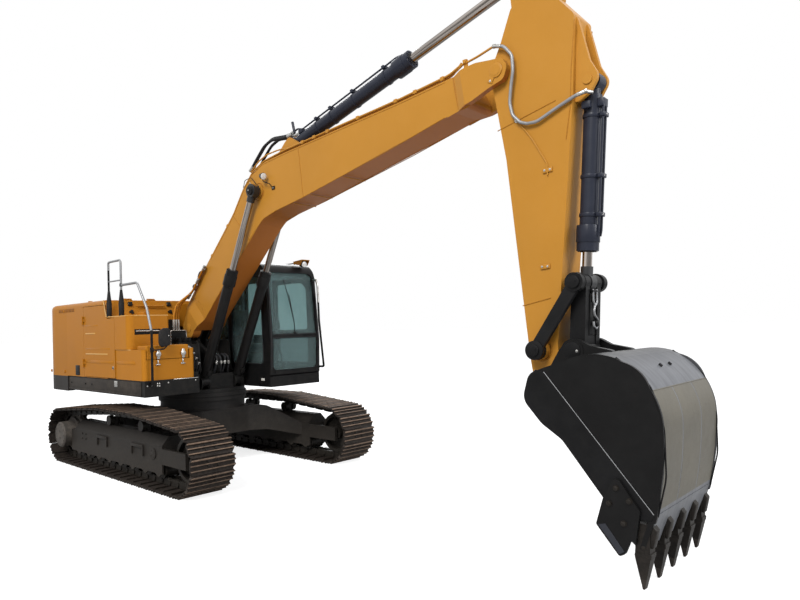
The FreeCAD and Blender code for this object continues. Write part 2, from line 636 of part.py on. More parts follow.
HOOD_X = (WEIGHT_ROOM_X + 14, HOOD_FRONT_X - 40)
HOOD_Y = (-1120.0, 360.0)
LEFT_DOOR_X = (WEIGHT_FRONT_X + 40, CAB_X[0] - 80)
DOOR_BOTTOM = DECK_TOP + 12
DOOR_TOP = HOOD_TOP - 75
HINGE_GAP = PANEL_GAP / 2   # a hinge's axis is over the middle of the gap


def hood_space(extra):
    return box(HOOD_X[0] - extra, HOOD_X[1] + extra, HOOD_Y[0] - extra, HOOD_Y[1] + extra,
               HOOD_TOP - PANEL - 1, HOOD_TOP + 1)


def hood_hinges():
    places = [vec(HOOD_X[1] + HINGE_GAP, y, HOOD_TOP) for y in (-980, -620)]
    return hinges(places, vec(-1, 0, 0), vec(0, 0, 1), 34)


def right_door_space(extra):
    x0, x1 = DOOR_SPLIT_X
    return box(x0 - extra, x1 + extra, -SIDE_Y - 1, -SIDE_Y + PANEL + 1, DOOR_BOTTOM - extra,
               DOOR_TOP + extra)


def right_door_hinges():
    places = [vec(DOOR_SPLIT_X[0] - HINGE_GAP, -SIDE_Y, z) for z in (1500, 2120)]
    return hinges(places, vec(1, 0, 0), vec(0, -1, 0))


def left_door_space(extra):
    x0, x1 = LEFT_DOOR_X
    return box(x0 - extra, x1 + extra, SIDE_Y - PANEL - 1, SIDE_Y + 1, DOOR_BOTTOM - extra, DOOR_TOP + extra)


def left_door_hinges():
    places = [vec(LEFT_DOOR_X[0] - HINGE_GAP, SIDE_Y, z) for z in (1500, 2120)]
    return hinges(places, vec(1, 0, 0), vec(0, 1, 0), 36)


def engine_hood():
    lid = box(HOOD_X[0], HOOD_X[1], HOOD_Y[0], HOOD_Y[1], HOOD_TOP - PANEL, HOOD_TOP)
    lid = lid.makeChamfer(8, [e for e in lid.Edges if e.BoundBox.ZMin > HOOD_TOP - 1])
    x, y = HOOD_X[0] + 150, HOOD_Y[0] + 780
    grille = box(x, x + 500, y, y + 500, HOOD_TOP - 6, HOOD_TOP + 1)
    slats = [box(x + 15 + i * 60, x + 45 + i * 60, y + 15, y + 485, HOOD_TOP - 7, HOOD_TOP)
             for i in range(8)]
    return fused([lid.cut(grille.cut(Part.makeCompound(slats)))] + hood_hinges()[1])


def right_door():
    """Pump room door: stepped top edge, two pressed ribs and a latch recess."""
    x0, x1 = DOOR_SPLIT_X
    points = [(x0, DOOR_BOTTOM, 15), (x1, DOOR_BOTTOM, 15), (x1, TANK_TOP - 25),
              (STEP_X + 10, TANK_TOP - 25), (HOOD_FRONT_X, DOOR_TOP), (x0, DOOR_TOP, 15)]
    door = side_plate(points, -SIDE_Y, -SIDE_Y + PANEL)
    for x, z, long in ((x0 + 60, 2030, 420), (x0 + 60, 1700, 800)):
        door = door.cut(box(x, x + long, -SIDE_Y - 1, -SIDE_Y + 6, z, z + 22))
    return fused([door] + right_door_hinges()[1])


def left_door():
    x0, x1 = LEFT_DOOR_X
    points = [(x0, DOOR_BOTTOM, 15), (x1, DOOR_BOTTOM, 15), (x1, DOOR_TOP, 15), (x0, DOOR_TOP, 15)]
    door = side_plate(points, SIDE_Y - PANEL, SIDE_Y)
    for row in range(9):
        z = 1480 + row * 75
        door = door.cut(box(x0 + 110, x1 - 110, SIDE_Y - PANEL - 1, SIDE_Y + 1, z, z + 30))
    return fused([door] + left_door_hinges()[1])


TANK_BOTTOM = 1700.0


def fuel_tank():
    """Tank beside the boom, over the tool box, with a slotted recess in its front."""
    x0, x1 = STEP_X + PANEL_GAP, TANK_FRONT_X
    y0, y1 = -SIDE_Y, -765
    upper = plan_plate([(PANEL_GAP, y0), (x1, y0, 85), (x1, y1, 30), (PANEL_GAP, y1)], TANK_BOTTOM, TANK_TOP)
    rear = box(x0, 0, y0 + PANEL + 6, y1, DECK_TOP, TANK_TOP)
    body = fused([upper, rear, box(-1, PANEL_GAP + 1, y0 + PANEL + 6, y1, TANK_BOTTOM, TANK_TOP)])
    hollow = fused([box(-10, x1 - 14, y0 + 60, y1 - 14, TANK_BOTTOM + 14, TANK_TOP - 14),
                    box(x0 + 14, -14, y0 + 60, y1 - 14, DECK_TOP + 14, TANK_TOP - 14)])
    recess = box(x1 - 12, x1 + 1, y0 + 85, y1 - 130, 1892, 1966)
    filler = zcyl(200, -1050, 70, TANK_TOP - 5, TANK_TOP + 35)
    return fused([body.cut(hollow).cut(recess), filler])


BOX_X = (PANEL_GAP, RIGHT_FRONT_X - 15)
BOX_Y = (-SIDE_Y + 12, -600.0)
BOX_TOP = 1697.0
LID_X0 = TANK_FRONT_X + 50
LID_Y = (BOX_Y[0] + 48, BOX_Y[1] - 80)
LID_TOP = BOX_TOP + 50      # the lid's middle is raised
LID_BOTTOM = BOX_TOP - 125


def toolbox():
    body = plan_plate([(BOX_X[0], BOX_Y[0]), (BOX_X[1], BOX_Y[0], 50), (BOX_X[1], BOX_Y[1], 40),
                       (BOX_X[0], BOX_Y[1])], DECK_TOP, BOX_TOP)
    inner = box(LID_X0 + 20, BOX_X[1] - 25, BOX_Y[0] + 25, BOX_Y[1] - 25, DECK_TOP + 20, BOX_TOP + 1)
    rear = box(BOX_X[0] + 12, LID_X0 - 20, BOX_Y[0] + 12, BOX_Y[1] - 12, DECK_TOP + 12, BOX_TOP - 12)
    lid_room = box(LID_X0 - 8, BOX_X[1] + 1, LID_Y[0] - 8, LID_Y[1] + 8, LID_BOTTOM - 8, BOX_TOP + 1)
    return fused([body.cut(inner).cut(rear).cut(lid_room)] + lid_hinges()[0])


def lid_hinges():
    places = [vec(LID_X0 - 4, y, BOX_TOP) for y in (-1180, -740)]
    return hinges(places, vec(1, 0, 0), vec(0, 0, 1), 16)


def toolbox_lid():
    """Folded lid over the box's top and upper front, raised behind its front edge."""
    front = BOX_X[1]
    lid = plan_plate([(LID_X0, LID_Y[0]), (front, LID_Y[0], 30), (front, LID_Y[1], 30), (LID_X0, LID_Y[1])],
                     LID_BOTTOM, LID_TOP)
    rim = [e for e in lid.Edges if e.BoundBox.ZMin > LID_TOP - 1 and e.BoundBox.XMax > LID_X0 + 1]
    lid = lid.makeFillet(14, rim)
    side = side_plate([(LID_X0 - 1, LID_BOTTOM - 1), (LID_X0 - 1, BOX_TOP), (LID_X0 + 62, BOX_TOP),
                       (LID_X0 + 84, LID_TOP + 1), (front + 1, LID_TOP + 1), (front + 1, LID_BOTTOM - 1)],
                      LID_Y[0] - 1, LID_Y[1] + 1)
    lid = lid.common(side)
    inside = box(LID_X0 + 20, front - 25, LID_Y[0] + 25, LID_Y[1] - 25, LID_BOTTOM - 1, BOX_TOP - 15)
    latches = []
    for y in (-1140, -780):
        latches.append(box(front - 1, front + 16, y - 22, y + 22, LID_BOTTOM, BOX_TOP - 10))
    return fused([lid.cut(inside)] + latches + lid_hinges()[1])


ENGINE_X = (WEIGHT_ROOM_X + 80, -1330.0)
ENGINE_Y = (-600.0, 420.0)
ENGINE_TOP = 2180.0


def engine_block():
    """Plain block the size of the engine, under the hood."""
    return box(*ENGINE_X, *ENGINE_Y, DECK_TOP, ENGINE_TOP)


def valve_bank():
    """Main control valve between the boom and the tank, and the swivel hoses' manifold."""
    y0, y1 = BOX_Y[1] + 10, -EAR_Y[1] - 60
    bank = box(STEP_X + 20, 330, y0, y1, DECK_TOP, 1690)
    cover = box(STEP_X + 20, 140, y0, y1, 1680, 1945)
    cover = cover.makeFillet(40, [e for e in cover.Edges if e.BoundBox.ZMin > 1944])
    front = box(320, CENTRE_FRONT_X + 60, y0, -BOOM_CYL_Y - 130, DECK_TOP, 1740)
    spools = [box(x, x + 34, y0 + 20, y1 - 20, 1680, 1770) for x in (160, 215, 270)]
    return fused([bank, cover, front] + spools)


def swing_motor():
    """Gearbox and motor that turn the house, behind the boom's foot."""
    base = zcyl(-440, 0, 150, DECK_TOP, 1500)
    return fused([base, zcyl(-440, 0, 105, 1500, 1760)])


LOOP_X = (-205.0, 168.0)
LOOP_Y = 30 - SIDE_Y
LOOP_TOP = 2902.0
GRIP_TOP = LOOP_TOP - 432
FRONT_RAIL_Z = LOOP_TOP - 339


def handrails():
    """Grab loop with grips on the tank, and the front rail with its long post."""
    y = LOOP_Y
    x0, x1 = LOOP_X
    loop = round_bar([(x0, y, TANK_TOP), (x0, y, LOOP_TOP), (x1, y, LOOP_TOP), (x1, y, TANK_TOP)], 15, 85)
    grips = [zcyl(x, y, 25, TANK_TOP, GRIP_TOP) for x in LOOP_X]
    rung = xcyl(y, LOOP_TOP - 270, 10, x0, x1)
    post_x = RIGHT_FRONT_X + 50
    post_y = y + 70
    front = round_bar([(x1, y, FRONT_RAIL_Z), (x1 + 387, y + 35, FRONT_RAIL_Z + 9),
                       (post_x + 5, post_y, CAB_BASE_TOP + 685), (post_x, post_y, CAB_BASE_TOP)], 16, 80)
    feet = [xcyl(post_y, CAB_BASE_TOP + rise, 12, RIGHT_FRONT_X, post_x) for rise in (10, 40)]
    return fused([loop, rung, front] + grips + feet)


def build_upper():
    save("revolving_frame", revolving_frame())
    save("counterweight", counterweight())
    save("lifting_eyes", lifting_eyes())
    save("housing_panels", housing())
    save("engine_hood", engine_hood())
    save("right_service_door", right_door())
    save("left_service_door", left_door())
    save("fuel_tank", fuel_tank())
    save("toolbox", toolbox())
    save("toolbox_lid", toolbox_lid())
    save("engine_block", engine_block())
    save("valve_bank", valve_bank())
    save("swing_motor", swing_motor())


# ---------------------------------------------------------------- cab
FRONT_TOP_X = CAB_X[1] - 75          # the windscreen leans back
CAB_CORNER = 270.0
PANE = 8.0                           # window glass


def cab_side_points(inset):
    """Side view outline of the cab."""
    x0, x1 = CAB_X
    z0, z1 = CAB_BASE_TOP, CAB_Z[1]
    return [(x0 + inset, z0 + inset), (x1 - inset, z0 + inset, 30), (x1 + 18 - inset, 1750, 600),
            (FRONT_TOP_X - inset, z1 - inset, CAB_CORNER - inset), (x0 + inset, z1 - inset, 130 - inset)]


WINDOW = {
    "front": [(CAB_Y[0] + 55, 1330, 60), (CAB_Y[1] - 55, 1330, 60), (CAB_Y[1] - 55, 2745, 90),
              (CAB_Y[0] + 55, 2745, 90)],
    "right_rear": [(CAB_X[0] + 90, 1700, 60), (120, 1700, 60), (120, CAB_HEAD, 60),
                   (CAB_X[0] + 90, CAB_HEAD, 60)],
    "right_front": [(200, 1420, 60), (980, 1420, 60), (940, CAB_HEAD, 160), (200, CAB_HEAD, 60)],
    "left_rear": [(CAB_X[0] + 90, 1750, 60), (0, 1750, 60), (0, CAB_HEAD, 60),
                  (CAB_X[0] + 90, CAB_HEAD, 60)],
    "back": [(CAB_Y[0] + 110, 1800, 60), (CAB_Y[1] - 110, 1800, 60), (CAB_Y[1] - 110, 2650, 60),
             (CAB_Y[0] + 110, 2650, 60)],
    "hatch": [(100, CAB_Y[0] + 170, 60), (640, CAB_Y[0] + 170, 60), (640, CAB_Y[1] - 170, 60),
              (100, CAB_Y[1] - 170, 60)],
    "door_upper": [(DOOR_X[0] + 70, 1900, 50), (DOOR_X[1] - 70, 1900, 50), (DOOR_X[1] - 90, 2630, 170),
                   (DOOR_X[0] + 70, 2630, 50)],
    "door_lower": [(DOOR_X[0] + 70, 1400, 50), (DOOR_X[1] - 70, 1400, 50), (DOOR_X[1] - 70, 1830, 50),
                   (DOOR_X[0] + 70, 1830, 50)],
}
CAB_BAR_Z = (1795.0, 1830.0)


def cab_body():
    """Pillars, sills, roof and back of the cab, with the windows and the doorway cut."""
    y0, y1 = CAB_Y
    outer = side_plate(cab_side_points(0), y0, y1)
    inner = side_plate(cab_side_points(CAB_WALL), y0 + CAB_WALL, y1 - CAB_WALL)
    shell = outer.cut(inner)
    base = box(CAB_X[0], CAB_X[1] + 15, y0, y1, CAB_Z[0], CAB_BASE_TOP)
    base = base.makeFillet(40, [e for e in base.Edges if e.BoundBox.XMin > CAB_X[1] and e.Length < 200])
    base = base.cut(box(CAB_X[0] + 40, CAB_X[1] - 60, y0 + 40, y1 - 40, CAB_Z[0] - 1, CAB_BASE_TOP - 30))
    front = front_plate(WINDOW["front"], CAB_X[1] - 170, CAB_X[1] + 60)
    right = [side_plate(WINDOW[name], y0 - 1, y0 + CAB_WALL + 1) for name in ("right_rear", "right_front")]
    left = side_plate(WINDOW["left_rear"], y1 - CAB_WALL - 1, y1 + 1)
    back = front_plate(WINDOW["back"], CAB_X[0] - 1, CAB_X[0] + CAB_WALL + 1)
    hatch = plan_plate(WINDOW["hatch"], CAB_Z[1] - CAB_WALL - 1, CAB_Z[1] + 1)
    doorway = side_plate(door_points(-MOVE_CLEAR), y1 - CAB_WALL - 1, y1 + 1)
    for cut in [front, left, back, hatch, doorway] + right:
        shell = shell.cut(cut)
    bar = box(CAB_X[1] - 32, CAB_X[1] + 14, y0 + 50, y1 - 50, *CAB_BAR_Z)
    return fused([shell, base, bar] + door_hinges()[0])


def door_points(inset):
    x0, x1 = DOOR_X
    low, high = DOOR_SILL + inset, CAB_HEAD - inset
    return [(x0 + inset, low, 60), (x1 - inset, low, 60), (x1 - 25 - inset, high, 230),
            (x0 + inset, high, 60)]


def door_hinges():
    places = [vec(DOOR_X[0] - HINGE_GAP, CAB_Y[1], z) for z in (1420, 2560)]
    return hinges(places, vec(1, 0, 0), vec(0, 1, 0))


def cab_door():
    y1 = CAB_Y[1]
    leaf = side_plate(door_points(0), y1 - CAB_WALL + 8, y1)
    for name in ("door_upper", "door_lower"):
        leaf = leaf.cut(side_plate(WINDOW[name], y1 - CAB_WALL, y1 + 1))
    handle = box(DOOR_X[1] - 60, DOOR_X[1] - 25, y1 - 2, y1 + 22, 1700, 1860)
    return fused([leaf, handle] + door_hinges()[1])


def cab_door_glass():
    panes = [side_plate(shrunk(WINDOW[name], SEAT_GAP), CAB_Y[1] - 28, CAB_Y[1] - 28 + PANE)
             for name in ("door_upper", "door_lower")]
    return Part.makeCompound(panes)


def shrunk(points, gap):
    """Window outline drawn smaller all round; the corner radii shrink with it."""
    centre_a = (max(p[0] for p in points) + min(p[0] for p in points)) / 2
    centre_b = (max(p[1] for p in points) + min(p[1] for p in points)) / 2
    return [(a + math.copysign(gap, centre_a - a), b + math.copysign(gap, centre_b - b), r - gap)
            for a, b, r in points]


def cab_glass():
    """Fixed panes, each set into its frame."""
    y0, y1 = CAB_Y
    arc = side_plate(cab_side_points(18), y0 + 50, y1 - 50)
    arc = arc.cut(side_plate(cab_side_points(18 + PANE), y0, y1))
    screen = arc.common(front_plate(shrunk(WINDOW["front"], SEAT_GAP), CAB_X[1] - 165, CAB_X[1] + 60))
    low, high = CAB_BAR_Z
    screen = screen.cut(box(CAB_X[1] - 165, CAB_X[1] + 60, y0, y1, low - SEAT_GAP, high + SEAT_GAP))
    right = [side_plate(shrunk(WINDOW[name], SEAT_GAP), y0 + 20, y0 + 20 + PANE)
             for name in ("right_rear", "right_front")]
    left = side_plate(shrunk(WINDOW["left_rear"], SEAT_GAP), y1 - 20 - PANE, y1 - 20)
    back = front_plate(shrunk(WINDOW["back"], SEAT_GAP), CAB_X[0] + 20, CAB_X[0] + 20 + PANE)
    hatch = plan_plate(shrunk(WINDOW["hatch"], SEAT_GAP), CAB_Z[1] - 30, CAB_Z[1] - 30 + PANE)
    return Part.makeCompound(screen.Solids + [left, back, hatch] + right)


def cab_seat():
    y = (CAB_Y[0] + CAB_Y[1]) / 2
    plinth = box(-230, 170, y - 200, y + 200, CAB_BASE_TOP + CAB_WALL, 1560)
    cushion = box(-260, 250, y - 250, y + 250, 1560, 1690)
    cushion = cushion.makeFillet(35, cushion.Edges)
    back = side_plate([(-290, 1640), (-170, 1640, 30), (-290, 2280, 50), (-390, 2280, 50)], y - 240, y + 240)
    head = side_plate([(-400, 2300, 25), (-310, 2300, 25), (-330, 2500, 40), (-420, 2500, 40)], y - 130,
                      y + 130)
    stalks = [box(-368, -348, y + s - 8, y + s + 8, 2270, 2310) for s in (-70, 70)]
    return fused([plinth, cushion, back, head] + stalks)


def cab_consoles():
    """Arm consoles with their levers, and the travel pedals on the floor."""
    y = (CAB_Y[0] + CAB_Y[1]) / 2
    pieces = []
    for side in (-1, 1):
        ya, yb = sorted((y + side * 262, y + side * 365))
        console = side_plate([(-250, CAB_BASE_TOP + CAB_WALL), (180, CAB_BASE_TOP + CAB_WALL),
                              (330, 1740, 40), (330, 1830, 30), (-250, 1830, 40)], ya, yb)
        lever = zcyl(270, (ya + yb) / 2, 16, 1820, 1960)
        knob = zcyl(270, (ya + yb) / 2, 28, 1950, 2060)
        pieces.append(fused([console, lever, knob]))
    for side in (-1, 1):
        pedal = side_plate([(620, CAB_BASE_TOP + CAB_WALL), (700, CAB_BASE_TOP + CAB_WALL), (780, 1400),
                            (760, 1410)], y + side * 75 - 45, y + side * 75 + 45)
        rod = round_bar([(700, y + side * 75, 1310), (700, y + side * 75, 1500), (620, y + side * 75, 1750)],
                        11, 60)
        pieces.append(fused([pedal, rod]))
    return Part.makeCompound(pieces)


def cab_fittings():
    """Roof lamps on their bracket, and the left grab rail with the mirror."""
    y0, y1 = CAB_Y
    lamp = box(CAB_X[1] - 200, CAB_X[1] - 30, y1 - 290, y1 - 150, CAB_Z[1] - 80, CAB_Z[1] + 20)
    head = box(CAB_X[1] - 60, CAB_X[1] + 10, y1 - 280, y1 - 160, CAB_Z[1] + 20, CAB_Z[1] + 110)
    rail = round_bar([(CAB_X[1] + 10, y1 - 60, 2560), (CAB_X[1] + 95, y1 - 20, 2560),
                      (CAB_X[1] + 140, y1 - 10, 1420), (CAB_X[1] + 10, y1 - 60, 1380)], 13, 40)
    outer = side_plate(cab_side_points(0), y0, y1)
    return Part.makeCompound([fused([lamp, head]).cut(outer), rail.cut(outer)])


def build_cab():
    save("cab_body", cab_body())
    save("cab_door", cab_door())
    save("cab_door_glass", cab_door_glass())
    save("cab_glass", cab_glass())
    save("operator_seat", cab_seat())
    save("control_consoles", cab_consoles())
    save("cab_fittings", cab_fittings())
    save("handrails", handrails())


# ---------------------------------------------------------------- boom
BOOM_WALL = 14.0
TIP_EAR = (BOOM_HALF - BOOM_WALL, TIP_HALF)
TIP_BOSS = 112.0
CYL_BRACKET = 88.0          # inside of the arm cylinder's bracket, from the middle plane
ARM_TOP_EAR = 72.0          # inside of the arm's top ears


def spread_plate(points, half, out, crease, run):
    """Side plate that bends outwards: flush with half at the crease line, at out from run on."""
    plate = side_plate(points, half - BOOM_WALL, out)
    (ax, az), (bx, bz) = crease
    line = vec(bx - ax, 0, bz - az).normalize()
    ahead = line.cross(vec(0, 1, 0))
    far = 900
    start = vec(ax, 0, az) - line * far
    profile = [(-far, half), (0, half), (run, out), (run, out + 50), (-far, out + 50)]
    corners = [start + ahead * a + vec(0, y, 0) for a, y in profile]
    wedge = Part.Face(Part.makePolygon(corners + corners[:1])).extrude(line * 2 * far)
    return plate.cut(wedge)


def boom():
    """Cranked box boom: slotted foot, cylinder boss, arm cylinder bracket and tip fork."""
    fx, fz = BOOM_FOOT
    tx, tz = BOOM_TIP
    ex, ez = BOOM_CYL_EYE
    heel = (fx - FOOT_BOSS, fz + 25, 40)
    toe = (fx + 30, fz - 120, 90)
    belly = (fx + 340, fz + 95)
    neck = (fx + 30, fz + 458, 100)
    outline = [heel, toe, belly, (ex + 85, ez - 343, 500), (ex + 840, ez - 217), (tx - 492, tz - 244),
               (tx - 270, tz - 230, 60), (tx - 440, tz + 100, 60), (tx - 530, tz + 98), (tx - 1162, tz + 43),
               (ex + 550, ez + 395), (ex + 90, ez + 357, 500), (ex - 250, ez + 195, 350),
               (ex - 550, ez - 195), (fx + 390, fz + 825), neck]
    body = box_beam(outline, BOOM_HALF, BOOM_WALL)
    solid = side_plate(outline, 1 - BOOM_HALF, BOOM_HALF - 1)
    cheek = spread_plate([heel, toe, belly, (fx + 370, fz + 122), neck[:2]], BOOM_HALF, FOOT_HALF,
                         ((fx + 370, fz + 122), neck[:2]), 150)
    foot = ycyl(BOOM_FOOT, FOOT_BOSS, -FOOT_HALF, FOOT_HALF)
    foot_bore = ycyl(BOOM_FOOT, FOOT_PIN + RUN_CLEAR, -FOOT_HALF - 1, FOOT_HALF + 1)
    room = FOOT_BOSS + 2 * MOVE_CLEAR
    slot = ycyl(BOOM_FOOT, room, -FOOT_SLOT, FOOT_SLOT)
    lining = ycyl(BOOM_FOOT, room + BOOM_WALL, -BOOM_HALF + 2, BOOM_HALF - 2).common(solid)
    cross = ycyl(BOOM_CYL_EYE, 95, -BOOM_HALF - 14, BOOM_HALF + 14)
    reach = BOOM_CYL_Y - BOOM_ROD - NECK_RIM - MOVE_CLEAR
    cross_pin = ycyl(BOOM_CYL_EYE, 56, -reach, reach)
    ear = spread_plate([(tx - 580, tz - 270), (tx - 262, tz - 202), (tx - 87, tz - 139),
                        (tx + 70, tz - 98, 60), (tx + TIP_BOSS, tz + 10, 80), (tx + 60, tz + 98, 60),
                        (tx - 60, tz + 110, 100), (tx - 215, tz + 133, 100), (tx - 326, tz + 127, 100),
                        (tx - 580, tz + 80)], BOOM_HALF, TIP_HALF,
                       ((tx - 500, tz + 118), (tx - 452, tz - 236)), 110)
    bx, bz = ARM_CYL_BASE
    bracket = side_plate([(bx - 330, bz - 190), (bx + 380, bz - 150), (bx + 80, bz + 40, 60),
                          (bx + 10, bz + 85, 70), (bx - 75, bz + 30, 70)], CYL_BRACKET, CYL_BRACKET + 32)
    base_pin = ycyl(ARM_CYL_BASE, ARM_CYL_PIN, -CYL_BRACKET - 32, CYL_BRACKET + 32)
    parts = [body, foot, lining, cross, cross_pin, base_pin]
    parts += both_sides(cheek) + both_sides(ear) + both_sides(bracket)
    whole = fused(parts).cut(slot).cut(foot_bore)
    pin = ycyl(BOOM_TIP, TIP_PIN, -TIP_EAR[1] - 12, TIP_EAR[1] + 12)
    return fused([whole, pin])


GLAND_SEAT = 100.0          # length of the gland's bore
PISTON = 60.0               # length of a piston
NECK_RIM = 10.0             # step from a rod to the neck of its eye


def barrel(base, eye, y, size, rod_radius, eye_half, pin, boss):
    """Cylinder barrel: base eye, tube and gland; the rod runs in the gland's bore."""
    bore, outer, length, gland = size
    tube = along(base, eye, y, outer, boss + 30, length - 20)
    neck = along(base, eye, y, min(outer, eye_half) - 3, pin + 10, boss + 34)
    head = along(base, eye, y, gland, length - 190, length)
    ring = ycyl(base, boss, y - eye_half, y + eye_half)
    whole = fused([tube, neck, head, ring])
    hole = ycyl(base, pin + RUN_CLEAR, y - eye_half - 1, y + eye_half + 1)
    inside = along(base, eye, y, bore, boss + 36, length - GLAND_SEAT)
    passage = along(base, eye, y, rod_radius + RUN_CLEAR, length - GLAND_SEAT - 1, length + 1)
    return whole.cut(hole).cut(inside).cut(passage)


def rod(base, eye, y, size, radius, start, boss, eye_half, cap):
    """Piston rod: piston in the bore, shaft and an eye that may leave its seat."""
    span = distance(base, eye)
    piston = along(base, eye, y, size[0] - RUN_CLEAR, start, start + PISTON)
    shaft = along(base, eye, y, radius, start + PISTON - 5, span - boss + 10)
    ring = ycyl(eye, boss, y - eye_half, y + eye_half)
    neck = along(base, eye, y, radius + NECK_RIM, span - boss - 60, span - boss + 15)
    pieces = [piston, shaft, ring, neck]
    if cap:
        pieces.append(ycyl(eye, boss - 32, y + eye_half, y + eye_half + cap))
    return fused(pieces)


# bore, outside radius, length and gland radius of a barrel; radius of its rod; the piston's
# place from the base pin at rest
BOOM_BARREL = (60.0, 70.0, 1700.0, 80.0)
BOOM_ROD = 42.0
BOOM_PISTON = 1036.0
ARM_BARREL = (67.0, 80.0, 1960.0, 98.0)
ARM_ROD = 50.0
ARM_PISTON = 1150.0
BUCKET_BARREL = (60.0, 72.0, 1400.0, 90.0)
BUCKET_ROD = 40.0
BUCKET_PISTON = 181.0


def boom_cylinders():
    ends = (BOOM_CYL_BASE, BOOM_CYL_EYE, BOOM_CYL_Y, BOOM_BARREL)
    left = barrel(*ends, BOOM_ROD, EYE_HALF, BOOM_CYL_PIN, 78)
    left_rod = rod(*ends, BOOM_ROD, BOOM_PISTON, 88, EYE_HALF, 28)
    save("boom_cylinder_barrels", Part.makeCompound(both_sides(left)))
    save("boom_cylinder_rods", Part.makeCompound(both_sides(left_rod)))


def arm_cylinder():
    ends = (ARM_CYL_BASE, ARM_CYL_EYE, 0, ARM_BARREL)
    save("arm_cylinder_barrel", barrel(*ends, ARM_ROD, CYL_BRACKET - 4, ARM_CYL_PIN, 88))
    save("arm_cylinder_rod", rod(*ends, ARM_ROD, ARM_PISTON, 92, 50, 0))


def bucket_cylinder():
    ends = (BUCKET_CYL_BASE, LINK_PIN, 0, BUCKET_BARREL)
    save("bucket_cylinder_barrel", barrel(*ends, BUCKET_ROD, 60, BUCKET_CYL_PIN, 80))
    save("bucket_cylinder_rod", rod(*ends, BUCKET_ROD, BUCKET_PISTON, 75, 48, 0))


ARM_WALL = 12.0


def arm():
    """Box arm with the boom boss, the two cylinders' ears and the bucket end."""
    tx, tz = BOOM_TIP
    ux, uz = ARM_CYL_EYE
    vx, vz = BUCKET_CYL_BASE
    bx, bz = ARM_TIP
    rx, rz = ROCKER_PIN
    outline = [(ux - 70, uz - 330, 60), (tx + 10, tz + 255, 200), (tx - 102, tz + 40, 130),
               (tx - 78, tz - 150, 110), (tx + 30, tz - 800), (rx - 110, rz - 60), (bx - 125, bz + 60, 60),
               (bx - 40, bz - 118, 90), (bx + 110, bz - 20, 90), (rx + 150, rz + 60), (vx - 156, vz - 565),
               (vx - 110, vz - 120), (vx - 75, vz + 560, 60), (ux + 250, uz - 270, 60)]
    body = box_beam(outline, ARM_HALF, ARM_WALL)
    boom_boss = ycyl(BOOM_TIP, 98, -TIP_EAR[0] + MOVE_CLEAR / 2, TIP_EAR[0] - MOVE_CLEAR / 2)
    boom_bore = ycyl(BOOM_TIP, TIP_PIN + RUN_CLEAR, -TIP_HALF, TIP_HALF)
    tip_boss = ycyl(ARM_TIP, 115, -ARM_HALF, ARM_HALF)
    tip_bore = ycyl(ARM_TIP, BUCKET_PIN + RUN_CLEAR, -TIP_HALF, TIP_HALF)
    rocker_boss = ycyl(ROCKER_PIN, 85, -ARM_HALF - 70, ARM_HALF + 70)
    top_ear = side_plate([(ux - 95, uz + 20, 90), (ux + 20, uz + 100, 90), (ux + 110, uz - 10, 80),
                          (ux + 330, uz - 330, 60), (ux - 60, uz - 400, 60)], ARM_TOP_EAR, ARM_HALF)
    side_ear = side_plate([(vx - 120, vz - 190, 40), (vx + 20, vz - 105, 90), (vx + 95, vz + 10, 90),
                           (vx + 20, vz + 160, 90), (vx - 70, vz + 560, 60), (vx - 200, vz + 560, 60)], 80,
                          118)
    parts = [body, boom_boss, tip_boss, rocker_boss] + both_sides(top_ear) + both_sides(side_ear)
    parts.append(ycyl(BUCKET_CYL_BASE, BUCKET_CYL_PIN, -130, 130))
    whole = fused(parts).cut(boom_bore).cut(tip_bore)
    pin = ycyl(ROCKER_PIN, ROCKER_SHAFT, -ROCKER_Y[1] - 14, ROCKER_Y[1] + 14)
    return fused([whole, pin])


ROCKER_Y = (ARM_HALF + 74.0, ARM_HALF + 134.0)
ROCKER_TOP_Y = (ARM_HALF + MOVE_CLEAR, 240.0)
LINK_Y = (62.0, 150.0)


def rocker_links():
    """Pair of dog bone rockers, splayed outwards towards the arm, on one pin at the top."""
    hole = ycyl(ROCKER_PIN, ROCKER_SHAFT + RUN_CLEAR, 0, ROCKER_Y[1] + 1)
    low = ycyl(ROCKER_PIN, 78, *ROCKER_Y).cut(hole)
    high = ycyl(LINK_PIN, 78, *ROCKER_TOP_Y)
    span = distance(ROCKER_PIN, LINK_PIN)
    ux, uz = (LINK_PIN[0] - ROCKER_PIN[0]) / span, (LINK_PIN[1] - ROCKER_PIN[1]) / span
    ends = []
    for at, y0, y1, reach in ((ROCKER_PIN, ROCKER_Y[0] + 6, ROCKER_Y[1] - 12, 40),
                              (LINK_PIN, 178, 226, -40)):
        x, z = at[0] + ux * reach, at[1] + uz * reach
        half = 52
        corners = [vec(x - uz * half, y0, z + ux * half), vec(x + uz * half, y0, z - ux * half),
                   vec(x + uz * half, y1, z - ux * half), vec(x - uz * half, y1, z + ux * half)]
        ends.append(Part.makePolygon(corners + corners[:1]))
    web = Part.makeLoft(ends, True, True)
    left = fused([low, high, web.cut(hole)])
    pin = ycyl(LINK_PIN, LINK_SHAFT, LINK_Y[0] - 8, ROCKER_TOP_Y[1] + 14)
    return Part.makeCompound(both_sides(fused([left, pin])))


